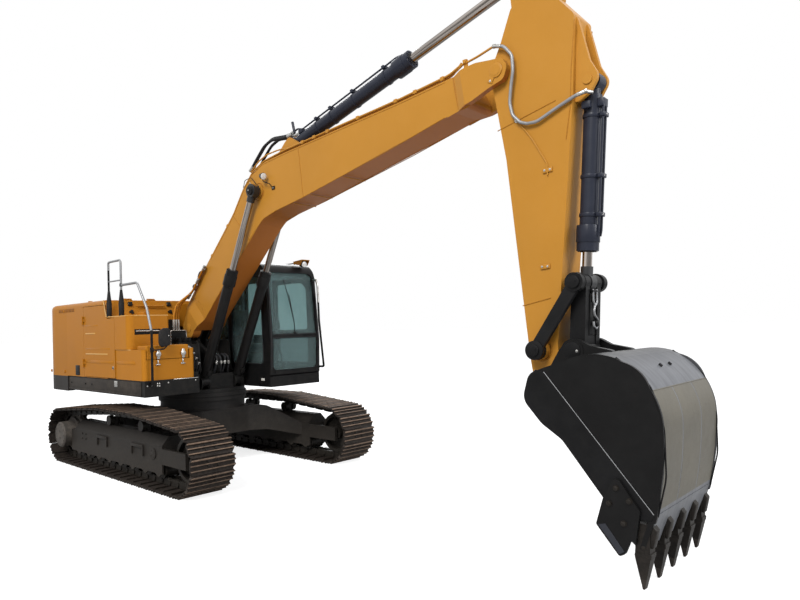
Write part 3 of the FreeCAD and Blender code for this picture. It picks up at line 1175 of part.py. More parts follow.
def h_link():
    """Cast link between the cylinder's pin and the bucket, two cheeks and a cross web."""
    top = ycyl(LINK_PIN, 70, *LINK_Y)
    foot = ycyl(BUCKET_LINK_PIN, 78, -LINK_Y[1], LINK_Y[1])
    span = distance(LINK_PIN, BUCKET_LINK_PIN)
    tx, tz = LINK_PIN
    bx, bz = BUCKET_LINK_PIN
    cheek = side_plate([(tx - 62, tz), (tx + 62, tz), (bx + 66, bz), (bx - 66, bz)], LINK_Y[0] + 8,
                       LINK_Y[1] - 8)
    low = between(BUCKET_LINK_PIN, LINK_PIN, 0.5)
    web = side_plate([(low[0] - 55, low[1]), (low[0] + 55, low[1]), (bx + 60, bz), (bx - 60, bz)],
                     -LINK_Y[0] - 10, LINK_Y[0] + 10)
    hole = ycyl(LINK_PIN, LINK_SHAFT + RUN_CLEAR, -LINK_Y[1] - 1, LINK_Y[1] + 1)
    return fused(both_sides(top) + both_sides(cheek) + [foot, web]).cut(hole)


# ---------------------------------------------------------------- bucket
BUCKET_SIDE = 26.0
WRAPPER = 22.0
EAR_PLATE = (LINK_Y[1] + 22.0, LINK_Y[1] + 76.0)
LIP = (6690.0, 520.0)
LIP_EDGE = ((6575.0, 290.0), (6612.0, 290.0))
TOOTH_TIP = (6584.0, 2.0)


def wrapper_wire(inset):
    """Side view of the bucket's rolled plate, from under the hinge round to the lip."""
    points = [vec(5990 + inset * 0.4, 0, 1090), vec(5945 + inset, 0, 1440), vec(6080, 0, 1610 - inset),
              vec(6450, 0, 1628 - inset), vec(6765 - inset, 0, 1150), vec(6740 - inset, 0, 800),
              vec(LIP[0] - inset, 0, LIP[1])]
    first = Part.makeLine(points[0], points[1])
    second = Part.makeLine(points[1], points[2])
    third = Part.Arc(points[2], vec(6290, 0, 1655 - inset), points[3]).toShape()
    fourth = Part.Arc(points[3], vec(6672 - inset * 0.7, 0, 1440 - inset * 0.7), points[4]).toShape()
    fifth = Part.Arc(points[4], points[5], points[6]).toShape()
    return [first, second, third, fourth, fifth]


def lip_plate(half):
    """Cutting edge that carries the teeth, across the bucket."""
    return side_plate([(LIP[0] + 8, LIP[1] + 20), (LIP[0] - 30, LIP[1] + 20), LIP_EDGE[0], LIP_EDGE[1]],
                      -half, half)


def bucket():
    """Rolled shell, side plates, lip, hinge ears and side cutters."""
    outer = wrapper_wire(0)
    inner = wrapper_wire(WRAPPER)
    start = Part.makeLine(inner[0].Vertexes[0].Point, outer[0].Vertexes[0].Point)
    end = Part.makeLine(outer[-1].Vertexes[-1].Point, inner[-1].Vertexes[-1].Point)
    ring = Part.Wire(Part.__sortEdges__(outer + [end] + inner + [start]))
    face = Part.Face(ring)
    face.translate(vec(0, -BUCKET_HALF + 4, 0))
    shell = face.extrude(vec(0, 2 * BUCKET_HALF - 8, 0))
    bx, bz = ARM_TIP
    side = side_plate([(5760, 1500, 110), (5700, 1290, 120), (5858, 1109, 200), (6024, 998, 150),
                       (6335, 600), (6560, 300, 20), (6640, 330, 20), (6700, 520), (6750, 820, 500),
                       (6775, 1150, 600), (6640, 1560, 260), (6290, 1665, 500), (6020, 1590, 200)],
                      BUCKET_HALF - BUCKET_SIDE, BUCKET_HALF)
    lip = lip_plate(BUCKET_HALF - 2)
    lx, lz = BUCKET_LINK_PIN
    ear = side_plate([(bx - 118, bz + 10, 110), (bx - 10, bz - 118, 110), (bx + 130, bz - 70, 60),
                      (5985, 1110, 30), (6060, 1400), (6330, 1655, 40), (lx + 150, lz + 40, 60),
                      (lx + 20, lz + 112, 100), (lx - 108, lz + 20, 100)], *EAR_PLATE)
    arm_boss = ycyl(ARM_TIP, 105, EAR_PLATE[0] + MOVE_CLEAR, EAR_PLATE[1] + 5)
    link_boss = ycyl(BUCKET_LINK_PIN, 95, EAR_PLATE[0] + MOVE_CLEAR, EAR_PLATE[1] + 5)
    pin = ycyl(ARM_TIP, BUCKET_PIN, -EAR_PLATE[1] - 20, EAR_PLATE[1] + 20)
    cutter = side_plate([(6342, 622), (6281, 418, 20), (6445, 215, 20), (6486, 240, 20), (6529, 345),
                         (6560, 320), (6600, 560, 30), (6440, 790, 30)], BUCKET_HALF - 2, BUCKET_HALF + 30)
    side = side.cut(box(6480, 6700, 0, BUCKET_HALF + 1, 200, 486))
    parts = [shell, lip, pin]
    for piece in (side, ear, arm_boss, link_boss, cutter):
        parts += both_sides(piece)
    return fused(parts)


TOOTH_COUNT = 5
TOOTH_HALF = 48.0
TOOTH_SPAN = BUCKET_HALF - 3 - TOOTH_HALF   # from the middle to an outer tooth


def bucket_teeth():
    teeth = []
    for index in range(TOOTH_COUNT):
        y = TOOTH_SPAN * (2 * index / (TOOTH_COUNT - 1) - 1)
        body = side_plate([(6650, 470), (6560, 470, 10), (6540, 230, 20), (TOOTH_TIP[0] - 6, TOOTH_TIP[1]),
                           (TOOTH_TIP[0] + 8, TOOTH_TIP[1]), (6645, 220, 30)], y - TOOTH_HALF,
                          y + TOOTH_HALF)
        taper = [(TOOTH_HALF, 230), (TOOTH_HALF, 480)]
        wedge = front_plate([(y - a, z) for a, z in taper[::-1]] + [(y - 26, 0), (y + 26, 0)]
                            + [(y + a, z) for a, z in taper], 6400, 6800)
        teeth.append(body.common(wedge))
    slot = lip_plate(BUCKET_HALF)
    return Part.makeCompound([tooth.cut(slot) for tooth in teeth])


def build_equipment():
    save("boom", boom())
    boom_cylinders()
    arm_cylinder()
    save("arm", arm())
    bucket_cylinder()
    save("rocker_links", rocker_links())
    save("bucket_link", h_link())
    save("bucket", bucket())
    save("bucket_teeth", bucket_teeth())


os.makedirs("parts", exist_ok=True)
build_undercarriage()
build_upper()
build_cab()
build_equipment()
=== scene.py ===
import json
import math

import bpy
from mathutils import Matrix, Vector


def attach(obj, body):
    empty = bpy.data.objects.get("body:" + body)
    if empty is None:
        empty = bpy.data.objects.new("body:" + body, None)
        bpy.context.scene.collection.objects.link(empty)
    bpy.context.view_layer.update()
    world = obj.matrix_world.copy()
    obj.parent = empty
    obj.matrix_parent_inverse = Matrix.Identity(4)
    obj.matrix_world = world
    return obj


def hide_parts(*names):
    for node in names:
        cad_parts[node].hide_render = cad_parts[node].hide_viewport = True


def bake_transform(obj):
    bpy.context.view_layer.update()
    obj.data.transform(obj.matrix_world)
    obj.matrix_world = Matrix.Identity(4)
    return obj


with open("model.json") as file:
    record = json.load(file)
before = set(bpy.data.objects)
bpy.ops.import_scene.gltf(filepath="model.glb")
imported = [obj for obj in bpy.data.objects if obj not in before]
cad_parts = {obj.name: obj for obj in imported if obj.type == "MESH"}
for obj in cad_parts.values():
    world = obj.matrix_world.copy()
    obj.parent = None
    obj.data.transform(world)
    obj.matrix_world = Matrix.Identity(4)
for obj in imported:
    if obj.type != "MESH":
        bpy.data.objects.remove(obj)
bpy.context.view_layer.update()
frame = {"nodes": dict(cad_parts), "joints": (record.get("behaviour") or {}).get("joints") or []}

nodes = frame["nodes"]
pivot = {joint["name"]: Vector(joint["pos_m"]) for joint in frame["joints"] if "pos_m" in joint}


# ---------------------------------------------------------------- floor, light and camera
# A plain pale floor, a broad soft lamp high on the camera's side, a weaker one opposite and an
# even grey surround.  The camera stands low beside the bucket and looks back along the machine.
swing_axis = pivot["swing"].x


def nothing_selected():
    """Operators act on all that is selected, so each piece starts from an empty selection."""
    for thing in list(bpy.context.selected_objects):
        thing.select_set(False)
    bpy.context.view_layer.objects.active = None


def select(*pieces):
    """Select these pieces alone, with the first of them active."""
    nothing_selected()
    for piece in pieces:
        piece.select_set(True)
    bpy.context.view_layer.objects.active = pieces[0]


def shader_of(name, **sockets):
    """New material with a Principled shader whose plain sockets are set: (tree, shader, material)."""
    material = bpy.data.materials.new(name)
    material.use_nodes = True
    shader = material.node_tree.nodes["Principled BSDF"]
    for socket, value in sockets.items():
        shader.inputs[socket.replace("_", " ")].default_value = value
    return material.node_tree, shader, material


nothing_selected()
bpy.ops.mesh.primitive_plane_add(size=400, location=(0, 0, 0))
floor = bpy.context.object
floor.name = "studio_floor"
tree, shader, floor_paper = shader_of("floor_paper", Base_Color=(0.46, 0.46, 0.46, 1), Roughness=0.9)
lit = tree.nodes.new("ShaderNodeLightPath")
glow = tree.nodes.new("ShaderNodeEmission")
glow.inputs["Color"].default_value = (1, 1, 1, 1)
glow.inputs["Strength"].default_value = 0.80
both = tree.nodes.new("ShaderNodeAddShader")
seen = tree.nodes.new("ShaderNodeMixShader")
tree.links.new(shader.outputs[0], both.inputs[0])
tree.links.new(glow.outputs[0], both.inputs[1])
tree.links.new(lit.outputs["Is Camera Ray"], seen.inputs[0])
tree.links.new(shader.outputs[0], seen.inputs[1])
tree.links.new(both.outputs[0], seen.inputs[2])
tree.links.new(seen.outputs[0], tree.nodes["Material Output"].inputs["Surface"])
floor.data.materials.append(floor_paper)

world = bpy.context.scene.world or bpy.data.worlds.new("surround")
bpy.context.scene.world = world
world.use_nodes = True
surround = world.node_tree
surround.nodes.clear()
sky = surround.nodes.new("ShaderNodeBackground")
sky.inputs["Color"].default_value = (0.93, 0.96, 1.0, 1)
sky.inputs["Strength"].default_value = 0.50
paper = surround.nodes.new("ShaderNodeBackground")
paper.inputs["Color"].default_value = (1, 1, 1, 1)
paper.inputs["Strength"].default_value = 1.0
ray = surround.nodes.new("ShaderNodeLightPath")
straight = surround.nodes.new("ShaderNodeMath")
straight.operation = "MAXIMUM"
shiny = surround.nodes.new("ShaderNodeMath")
shiny.operation = "MAXIMUM"
mixed = surround.nodes.new("ShaderNodeMixShader")
surround.links.new(ray.outputs["Is Camera Ray"], straight.inputs[0])
surround.links.new(ray.outputs["Is Transmission Ray"], straight.inputs[1])
surround.links.new(straight.outputs[0], shiny.inputs[0])
surround.links.new(ray.outputs["Is Glossy Ray"], shiny.inputs[1])
surround.links.new(shiny.outputs[0], mixed.inputs[0])
surround.links.new(sky.outputs[0], mixed.inputs[1])
surround.links.new(paper.outputs[0], mixed.inputs[2])
surround.links.new(mixed.outputs[0], surround.nodes.new("ShaderNodeOutputWorld").inputs["Surface"])


def soft_lamp(name, spot, towards, size, power, tint):
    """Round area lamp that faces a point."""
    lamp = bpy.data.lights.new(name, "AREA")
    lamp.shape = "DISK"
    lamp.size = size
    lamp.energy = power
    lamp.color = tint
    holder = bpy.data.objects.new(name, lamp)
    holder.location = spot
    holder.rotation_euler = (Vector(towards) - Vector(spot)).to_track_quat("-Z", "Y").to_euler()
    bpy.context.scene.collection.objects.link(holder)


soft_lamp("key_lamp", (6, -15, 15), (-0.5, 0, 1.5), 9, 3750, (1.0, 0.985, 0.96))
soft_lamp("far_lamp", (-14, 12, 13), (0, 0, 1.5), 10, 1400, (0.97, 0.985, 1.0))
soft_lamp("front_lamp", (16, 3, 8), (0, 0, 1.5), 8, 1450, (1, 1, 1))

VIEW_FROM = Vector((swing_axis + 8.364, -5.221, 1.901))
VIEW_YAW, VIEW_PITCH, VIEW_ROLL = math.radians(135.02), math.radians(1.2), math.radians(-1.67)
ahead = Vector((math.cos(VIEW_PITCH) * math.cos(VIEW_YAW), math.cos(VIEW_PITCH) * math.sin(VIEW_YAW),
                math.sin(VIEW_PITCH)))
right = ahead.cross(Vector((0, 0, 1))).normalized()
upward = right.cross(ahead)
turned_right = right * math.cos(VIEW_ROLL) + upward * math.sin(VIEW_ROLL)
turned_up = upward * math.cos(VIEW_ROLL) - right * math.sin(VIEW_ROLL)
lens = bpy.data.cameras.new("view_camera")
lens.sensor_width = 36.0
lens.lens = 28.75
lens.shift_x = 0.0643
lens.shift_y = 0.0182
camera = bpy.data.objects.new("view_camera", lens)
camera.matrix_world = Matrix((turned_right, turned_up, -ahead)).transposed().to_4x4()
camera.location = VIEW_FROM
bpy.context.scene.collection.objects.link(camera)
bpy.context.scene.camera = camera
bpy.context.scene.view_settings.view_transform = "Standard"


# ---------------------------------------------------------------- undercarriage: car body and track frames
# The X-shaped car body and the two box frames are welded from plate and painted black.  Dust lies on
# them thickest near the ground.  The tubular bolts, covers and step brackets are fastened to them.
def node(tree, kind, sockets=None, **settings):
    """Add a shader node; a socket given as a value is linked and anything else is set."""
    made = tree.nodes.new("ShaderNode" + kind)
    for key, value in settings.items():
        setattr(made, key, value)
    for key, value in (sockets or {}).items():
        if isinstance(value, bpy.types.NodeSocket):
            tree.links.new(value, made.inputs[key])
        else:
            made.inputs[key].default_value = value
    return made


def spread(tree, value, low, high, out_low=0.0, out_high=1.0):
    """Value carried from the span low..high to out_low..out_high, and held at its ends."""
    return node(tree, "MapRange", {0: value, 1: low, 2: high, 3: out_low, 4: out_high}).outputs[0]


def blended(tree, share, first, second):
    """Colour between first and second by share; each is a socket or an (r, g, b)."""
    mix = node(tree, "Mix", {0: share}, data_type="RGBA")
    for key, value in ((6, first), (7, second)):
        if isinstance(value, bpy.types.NodeSocket):
            tree.links.new(value, mix.inputs[key])
        else:
            mix.inputs[key].default_value = (*value, 1.0)
    return mix.outputs[2]


def scaled(colour, share):
    """Lighter or darker shade of a colour."""
    return tuple(channel * share for channel in colour)


DUST = (0.27, 0.225, 0.18)


def coated(name, colour, gloss, vary=0.10, patch=2.5, dust=0.10, low_dust=0.0, fine=70.0, bump=0.03,
           dust_tone=DUST, **sockets):
    """Painted or cast metal: slow changes of tone, settled dust, uneven gloss and a fine skin."""
    tree, shader, material = shader_of(name, **sockets)
    place = node(tree, "TexCoord").outputs["Object"]
    slow = node(tree, "TexNoise", {"Vector": place, "Scale": patch, "Detail": 6.0}).outputs[0]
    quick = node(tree, "TexNoise", {"Vector": place, "Scale": fine, "Detail": 8.0,
                                    "Roughness": 0.7}).outputs[0]
    tone = blended(tree, spread(tree, slow, 0.35, 0.65), scaled(colour, 1 - vary), scaled(colour, 1 + vary))
    height = node(tree, "SeparateXYZ", {0: place}).outputs["Z"]
    near = spread(tree, height, 0.0, 0.85, low_dust, 0.0)
    cloud = node(tree, "TexNoise", {"Vector": place, "Scale": patch * 4, "Detail": 10.0,
                                    "Roughness": 0.75}).outputs[0]
    settled = node(tree, "Math", {0: spread(tree, cloud, 0.42, 0.68, 0.0, dust * 2.5), 1: near},
                   operation="ADD")
    speckled = node(tree, "Math", {0: settled.outputs[0], 1: spread(tree, quick, 0.35, 0.62, 0.25, 1.0)},
                    operation="MULTIPLY", use_clamp=True).outputs[0]
    tree.links.new(blended(tree, speckled, tone, dust_tone), shader.inputs["Base Color"])
    dull = node(tree, "Math", {0: spread(tree, slow, 0.3, 0.7, gloss - 0.06, gloss + 0.06),
                               1: spread(tree, speckled, 0.0, 1.0, 0.0, 0.35)}, operation="ADD",
                use_clamp=True)
    tree.links.new(dull.outputs[0], shader.inputs["Roughness"])
    skin = node(tree, "Bump", {"Strength": bump, "Distance": 0.004, "Height": quick})
    tree.links.new(skin.outputs[0], shader.inputs["Normal"])
    return material


def painted(names, material):
    """Give CAD nodes their finish."""
    for name in names:
        nodes[name].data.materials.clear()
        nodes[name].data.materials.append(material)


frame_black = coated("frame_black", (0.0095, 0.009, 0.009), 0.48, dust=0.03, low_dust=0.30, fine=110.0,
                     dust_tone=(0.15, 0.125, 0.10), Specular_IOR_Level=0.15)
painted(["car_body", "track_frame_left", "track_frame_right", "swing_bearing"], frame_black)


def at(x, y, z):
    """Place measured from the swing axis on the ground."""
    return Vector((swing_axis + x, y, z))


def settle(piece):
    """Put a piece's place into its mesh."""
    select(piece)
    bpy.ops.object.transform_apply(location=True, rotation=True, scale=True)
    return piece


def finished(piece, finish):
    """The piece with one finish all over."""
    piece.data.materials.clear()
    piece.data.materials.append(finish)
    return piece


def rounded(width, steps):
    """Round every edge of the mesh in edit mode."""
    bpy.ops.mesh.select_all(action="SELECT")
    bpy.ops.mesh.bevel(offset=width, segments=steps, affect="EDGES", clamp_overlap=True)


def block(finish, low, high, edge, turn=0.0, axis="Y", steps=2):
    """Cuboid between two corners with rounded edges, turned about its middle."""
    low, high = Vector(low), Vector(high)
    nothing_selected()
    bpy.ops.mesh.primitive_cube_add(size=1.0)
    piece = bpy.context.object
    piece.scale = high - low
    settle(piece)
    bpy.ops.object.mode_set(mode="EDIT")
    rounded(edge, steps)
    bpy.ops.object.mode_set(mode="OBJECT")
    piece.matrix_world = Matrix.Translation((low + high) / 2) @ Matrix.Rotation(turn, 4, axis)
    return finished(settle(piece), finish)


def rod(finish, start, end, radius, edge=0.0, sides=24, tip=None):
    """Round bar or cone between two points with rounded rims."""
    start, end = Vector(start), Vector(end)
    nothing_selected()
    bpy.ops.mesh.primitive_cone_add(vertices=sides, radius1=radius, radius2=radius if tip is None else tip,
                                    depth=(end - start).length)
    piece = bpy.context.object
    if edge:
        bpy.ops.object.mode_set(mode="EDIT")
        bpy.ops.mesh.select_all(action="DESELECT")
        bpy.ops.object.mode_set(mode="OBJECT")
        for line in piece.data.edges:
            heights = [piece.data.vertices[index].co.z for index in line.vertices]
            line.select = abs(heights[0] - heights[1]) < 1e-5
        bpy.ops.object.mode_set(mode="EDIT")
        bpy.ops.mesh.select_mode(type="EDGE")
        bpy.ops.mesh.bevel(offset=edge, segments=2, affect="EDGES")
        bpy.ops.mesh.select_mode(type="VERT")
        bpy.ops.object.mode_set(mode="OBJECT")
    turn = (end - start).to_track_quat("Z", "Y").to_matrix().to_4x4()
    piece.matrix_world = Matrix.Translation((start + end) / 2) @ turn
    return finished(settle(piece), finish)


def plate(finish, outline, low, high, edge=0.0, plane="XZ", steps=1):
    """Flat outline, from the swing axis, drawn out from low to high across its plane, edges rounded."""
    spots = {"XZ": lambda a, b, c: at(a, c, b),
             "XY": lambda a, b, c: at(a, b, c),
             "YZ": lambda a, b, c: at(c, a, b)}
    nothing_selected()
    bpy.ops.mesh.primitive_circle_add(vertices=len(outline), fill_type="NGON")
    piece = bpy.context.object
    for vertex, point in zip(piece.data.vertices, outline):
        vertex.co = spots[plane](point[0], point[1], low)
    draw = {"XZ": (0, high - low, 0), "XY": (0, 0, high - low), "YZ": (high - low, 0, 0)}[plane]
    bpy.ops.object.mode_set(mode="EDIT")
    bpy.ops.mesh.select_all(action="SELECT")
    bpy.ops.mesh.extrude_region_move(TRANSFORM_OT_translate={"value": draw})
    bpy.ops.mesh.select_all(action="SELECT")
    bpy.ops.mesh.normals_make_consistent(inside=False)
    if edge:
        rounded(edge, steps)
    bpy.ops.object.mode_set(mode="OBJECT")
    return finished(piece, finish)


def bar(finish, points, radius, bend=0.05, around=5):
    """Round bar or hose along points with its corners bent over the given length."""
    points = [Vector(point) for point in points]
    route = [points[0]]
    for before, corner, after in zip(points, points[1:], points[2:]):
        back, ahead = before - corner, after - corner
        route.append(corner + back.normalized() * min(bend, back.length * 0.49))
        route.append(corner)
        route.append(corner + ahead.normalized() * min(bend, ahead.length * 0.49))
    route.append(points[-1])
    nothing_selected()
    bpy.ops.curve.primitive_nurbs_path_add()
    piece = bpy.context.object
    piece.data.splines.clear()
    line = piece.data.splines.new("NURBS")
    line.points.add(len(route) - 1)
    for spot, place in zip(line.points, route):
        spot.co = (*place, 1.0)
    line.order_u = 3
    line.use_endpoint_u = True
    line.resolution_u = 5
    piece.data.bevel_depth = radius
    piece.data.bevel_resolution = around
    piece.data.use_fill_caps = True
    bpy.ops.object.convert(target="MESH")
    return finished(settle(bpy.context.object), finish)


def copied(piece, places):
    """The piece and its copies, each with its own mesh, at the given matrices."""
    made = []
    for place in places:
        copy = piece.copy()
        copy.data = piece.data.copy()
        copy.data.transform(place)
        if place.determinant() < 0:
            copy.data.flip_normals()
        bpy.context.scene.collection.objects.link(copy)
        made.append(copy)
    bpy.data.objects.remove(piece)
    return made


def joined(name, pieces, body, angle=32.0):
    """One piece out of several, smooth across shallow angles, riding on its body if one is given."""
    select(*pieces)
    if len(pieces) > 1:
        bpy.ops.object.join()
    whole = bpy.context.object
    whole.name = name
    bpy.ops.object.shade_smooth_by_angle(angle=math.radians(angle))
    if body:
        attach(whole, body)
    return whole


def bolts(finish, places, out, size=0.012, proud=0.010):
    """Hexagon bolt heads on round washers, standing on their seats towards out."""
    out = Vector(out).normalized()
    heads = []
    for place in places:
        place = Vector(place)
        heads.append(rod(finish, place, place + out * proud * 0.25, size * 1.25, sides=12))
        heads.append(rod(finish, place, place + out * proud, size, edge=size * 0.12, sides=6))
    return heads


def cap(finish, spot, side, inner, outer, radius, edge=0.003):
    """Round cap over a pin's end; spot is the pin's (x, z) and side says which end."""
    return rod(finish, at(spot[0], side * inner, spot[1]), at(spot[0], side * outer, spot[1]), radius, edge,
               32)


def ring(spot, y, radius, count=14):
    """Points of a closed ring about a spot (x, z), at y."""
    turns = [2 * math.pi * step / count for step in range(count + 1)]
    return [at(spot[0] + radius * math.cos(turn), y, spot[1] + radius * math.sin(turn)) for turn in turns]


MIRROR = Matrix.Scale(-1, 4, (0, 1, 0))


def mirrored(name, pieces, body):
    """One piece out of the left side's pieces and their mirror images."""
    left = joined(name + "_left", pieces, body)
    return joined(name, copied(left, [Matrix(), MIRROR]), body)


yellow_metal = coated("bright_zinc", (0.42, 0.42, 0.40), 0.35, dust=0.06, Metallic=0.85)

# Step brackets and the grease valve's cover on the outer face of each track frame.
fittings = []
for step in (-0.42, 0.62):
    fittings.append(block(frame_black, at(step - 0.16, 1.36, 0.46), at(step + 0.16, 1.385, 0.50), 0.004))
    fittings += [block(frame_black, at(step + end - 0.012, 1.355, 0.36), at(step + end + 0.012, 1.384, 0.49),
                       0.003) for end in (-0.15, 0.15)]
fittings += bolts(frame_black, [at(x, 1.362, z) for x in (-1.1, -0.98) for z in (0.40, 0.47)], (0, 1, 0))
fittings.append(rod(frame_black, at(1.02, 1.36, 0.42), at(1.02, 1.372, 0.42), 0.07, 0.004, 32))
fittings += bolts(frame_black, [at(1.02 + 0.052 * math.cos(a), 1.37, 0.42 + 0.052 * math.sin(a))
                                for a in (0.6, 2.2, 3.7, 5.3)], (0, 1, 0), 0.008, 0.006)
mirrored("track_frame_fittings", fittings, "undercarriage")


# ---------------------------------------------------------------- tracks
# Forged links carry rolled steel shoes with three grousers each, four bolts to a shoe.  The steel is
# dark with dried mud between the ribs and worn brown on their crests.  One shoe with its links is
# modelled, and copied round the loop over the sprocket, the two carrier rollers and the idler.
GAUGE, BASE, RIB, SHOE = 2.38, 3.41, 0.026, 0.60
END_RADIUS, CREST_RADIUS, CREST_Z, CARRIERS_X = 0.379, 0.33, 0.554, (-0.38, 0.56)
SHOES = 49
DRUM_Z = RIB + END_RADIUS
track_steel = coated("track_steel", (0.013, 0.011, 0.010), 0.55, vary=0.35, patch=9.0, dust=0.12,
                     low_dust=0.14, fine=160.0, bump=0.12, dust_tone=(0.13, 0.10, 0.08), Metallic=0.15,
                     Specular_IOR_Level=0.15)
worn_steel = coated("worn_steel", (0.17, 0.115, 0.080), 0.45, vary=0.3, patch=14.0, dust=0.20, fine=190.0,
                    bump=0.10, dust_tone=(0.09, 0.07, 0.06), Metallic=0.55)
link_steel = coated("link_steel", (0.008, 0.0075, 0.007), 0.45, vary=0.2, patch=12.0, dust=0.04,
                    low_dust=0.08, bump=0.08, Metallic=0.2, Specular_IOR_Level=0.2)


def loop_places(count):
    """Matrices along the shoe plates' outside, x along the loop, z outwards."""
    circles = [(-BASE / 2, DRUM_Z, END_RADIUS)]
    circles += [(x, CREST_Z, CREST_RADIUS) for x in CARRIERS_X]
    circles.append((BASE / 2, DRUM_Z, END_RADIUS))
    runs = []
    for index, (x0, z0, r0) in enumerate(circles):
        x1, z1, r1 = circles[(index + 1) % 4]
        lean = math.atan2(z1 - z0, x1 - x0) + math.acos((r0 - r1) / math.hypot(x1 - x0, z1 - z0))
        runs.append((Vector((x0 + r0 * math.cos(lean), z0 + r0 * math.sin(lean))),
                     Vector((x1 + r1 * math.cos(lean), z1 + r1 * math.sin(lean))), lean))
    path = []
    for index, (start, end, lean) in enumerate(runs):
        x, z, r = circles[(index + 1) % 4]
        turn = (lean - runs[(index + 1) % 4][2]) % (2 * math.pi)
        path.append(((end - start).length, start, lean, None))
        path.append((r * turn, (x, z), lean, r))
    length = sum(part[0] for part in path)
    made = []
    for step in range(count):
        travel = (step + 0.5) * length / count
        for size, where, lean, r in path:
            if travel <= size:
                break
            travel -= size
        if r is not None:
            lean -= travel / r
            spot = Vector(where) + Vector((math.cos(lean), math.sin(lean))) * r
        else:
            spot = where + Vector((math.sin(lean), -math.cos(lean))) * travel
        along = Vector((math.sin(lean), 0, -math.cos(lean)))
        out = Vector((math.cos(lean), 0, math.sin(lean)))
        turn = Matrix((along, out.cross(along), out)).transposed().to_4x4()
        made.append(Matrix.Translation(at(spot.x, 0, spot.y)) @ turn)
    return made, length / count


places, pitch = loop_places(SHOES)
half = pitch / 2
ribs = [(-half + 0.006, -0.030), (-half + 0.010, -0.003), (-half + 0.016, RIB * 0.85), (-half + 0.022, RIB),
        (-half + 0.030, RIB), (-half + 0.036, RIB * 0.8), (-half + 0.042, 0.001)]
for crest in (-0.012, 0.048):
    ribs += [(crest - 0.014, 0.0), (crest - 0.006, RIB * 0.82), (crest + 0.006, RIB * 0.82),
             (crest + 0.014, 0.0)]
ribs += [(half - 0.012, -0.001), (half + 0.006, 0.004), (half + 0.010, -0.004), (half + 0.004, -0.012),
         (-half + 0.016, -0.012), (-half + 0.012, -0.030)]
shoe = plate(track_steel, [(x - swing_axis, z) for x, z in ribs], -SHOE / 2, SHOE / 2, 0.0015)
shoe.data.materials.append(worn_steel)
select(shoe)
bpy.ops.object.mode_set(mode="EDIT")
for end in (-1, 1):
    for lead in (-1, 1):
        bpy.ops.mesh.select_all(action="SELECT")
        bpy.ops.mesh.bisect(plane_co=(lead * (half - 0.002), end * (SHOE / 2 - 0.028), 0),
                            plane_no=(lead, end, 0), use_fill=True, clear_outer=True)
bpy.ops.object.mode_set(mode="OBJECT")
for face in shoe.data.polygons:
    face.material_index = 1 if face.center.z > RIB * 0.74 else 0
chain = [shoe]
for side in (-1, 1):
    rail = [(-half - 0.02, -0.035), (-half + 0.03, -0.016), (half - 0.03, -0.014), (half + 0.012, -0.030),
            (half + 0.014, -0.075), (half - 0.03, -0.104), (-half + 0.03, -0.104), (-half - 0.022, -0.078)]
    chain.append(plate(link_steel, [(x - swing_axis, z) for x, z in rail], side * 0.063 - 0.020,
                       side * 0.063 + 0.020, 0.003))
    chain += bolts(link_steel, [(x, side * 0.063, 0.0) for x in (-0.040, 0.018)], (0, 0, 1), 0.013, 0.012)
chain.append(rod(link_steel, (-half, -0.098, -0.062), (-half, 0.098, -0.062), 0.020, sides=16))
select(*chain)
bpy.ops.object.join()
for side, name in ((1, "left"), (-1, "right")):
    master = shoe.copy()
    master.data = shoe.data.copy()
    shift = Matrix.Translation((0, side * GAUGE / 2, 0))
    belt = joined("shoes_" + name, copied(master, [shift @ place for place in places]), "undercarriage",
                  25)
    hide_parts("track_" + name)
bpy.data.objects.remove(shoe)

painted([name + side for name in ("track_rollers_", "idler_") for side in ("left", "right")], link_steel)
drive_grey = coated("drive_grey", (0.055, 0.050, 0.046), 0.5, dust=0.14, low_dust=0.18,
                    Specular_IOR_Level=0.2)
painted(["sprocket_left", "sprocket_right"], drive_grey)
drive = bolts(drive_grey, ring((-BASE / 2, DRUM_Z), 1.458, 0.155, 12)[:-1], (0, 1, 0), 0.011, 0.009)
drive += bolts(drive_grey, [at(-BASE / 2, 1.458, DRUM_Z + z) for z in (-0.05, 0.05)], (0, 1, 0), 0.014,
               0.008)
mirrored("final_drive_bolts", drive, "undercarriage")


# ---------------------------------------------------------------- upper structure: deck, skirts and tail
# The welded deck is black and its skirts are dusty grey.  The cast counterweight is painted orange
# with a black band round its foot.  Bolt heads, plates and a reflector on each side are fastened on.
def banded(material, top, colour):
    """Paint a material in another colour below a height."""
    tree = material.node_tree
    shader = tree.nodes["Principled BSDF"]
    above = shader.inputs["Base Color"].links[0].from_socket
    place = node(tree, "TexCoord").outputs["Object"]
    height = node(tree, "SeparateXYZ", {0: place}).outputs["Z"]
    share = spread(tree, height, top - 0.001, top + 0.001)
    tree.links.new(blended(tree, share, colour, above), shader.inputs["Base Color"])
    return material


SHEEN = {"Specular_IOR_Level": 0.12}
deck_black = coated("deck_black", (0.0085, 0.0085, 0.0085), 0.42, dust=0.02, fine=130.0, **SHEEN)
skirt_grey = coated("skirt_grey", (0.034, 0.029, 0.025), 0.55, vary=0.16, dust=0.06, low_dust=0.05, **SHEEN)
panel_orange = coated("panel_orange", (0.41, 0.157, 0.011), 0.36, vary=0.05, patch=1.1, dust=0.014,
                      fine=260.0, bump=0.012, dust_tone=(0.40, 0.24, 0.09), Specular_IOR_Level=0.12)
weight_orange = coated("weight_orange", (0.41, 0.160, 0.014), 0.44, vary=0.06, patch=1.0, dust=0.03,
                       fine=90.0, bump=0.06, dust_tone=(0.36, 0.22, 0.10), Specular_IOR_Level=0.12)
banded(weight_orange, 1.292, (0.030, 0.027, 0.025))
bright_steel = coated("bright_steel", (0.50, 0.49, 0.47), 0.28, vary=0.06, patch=20.0, dust=0.03,
                      Metallic=0.9)
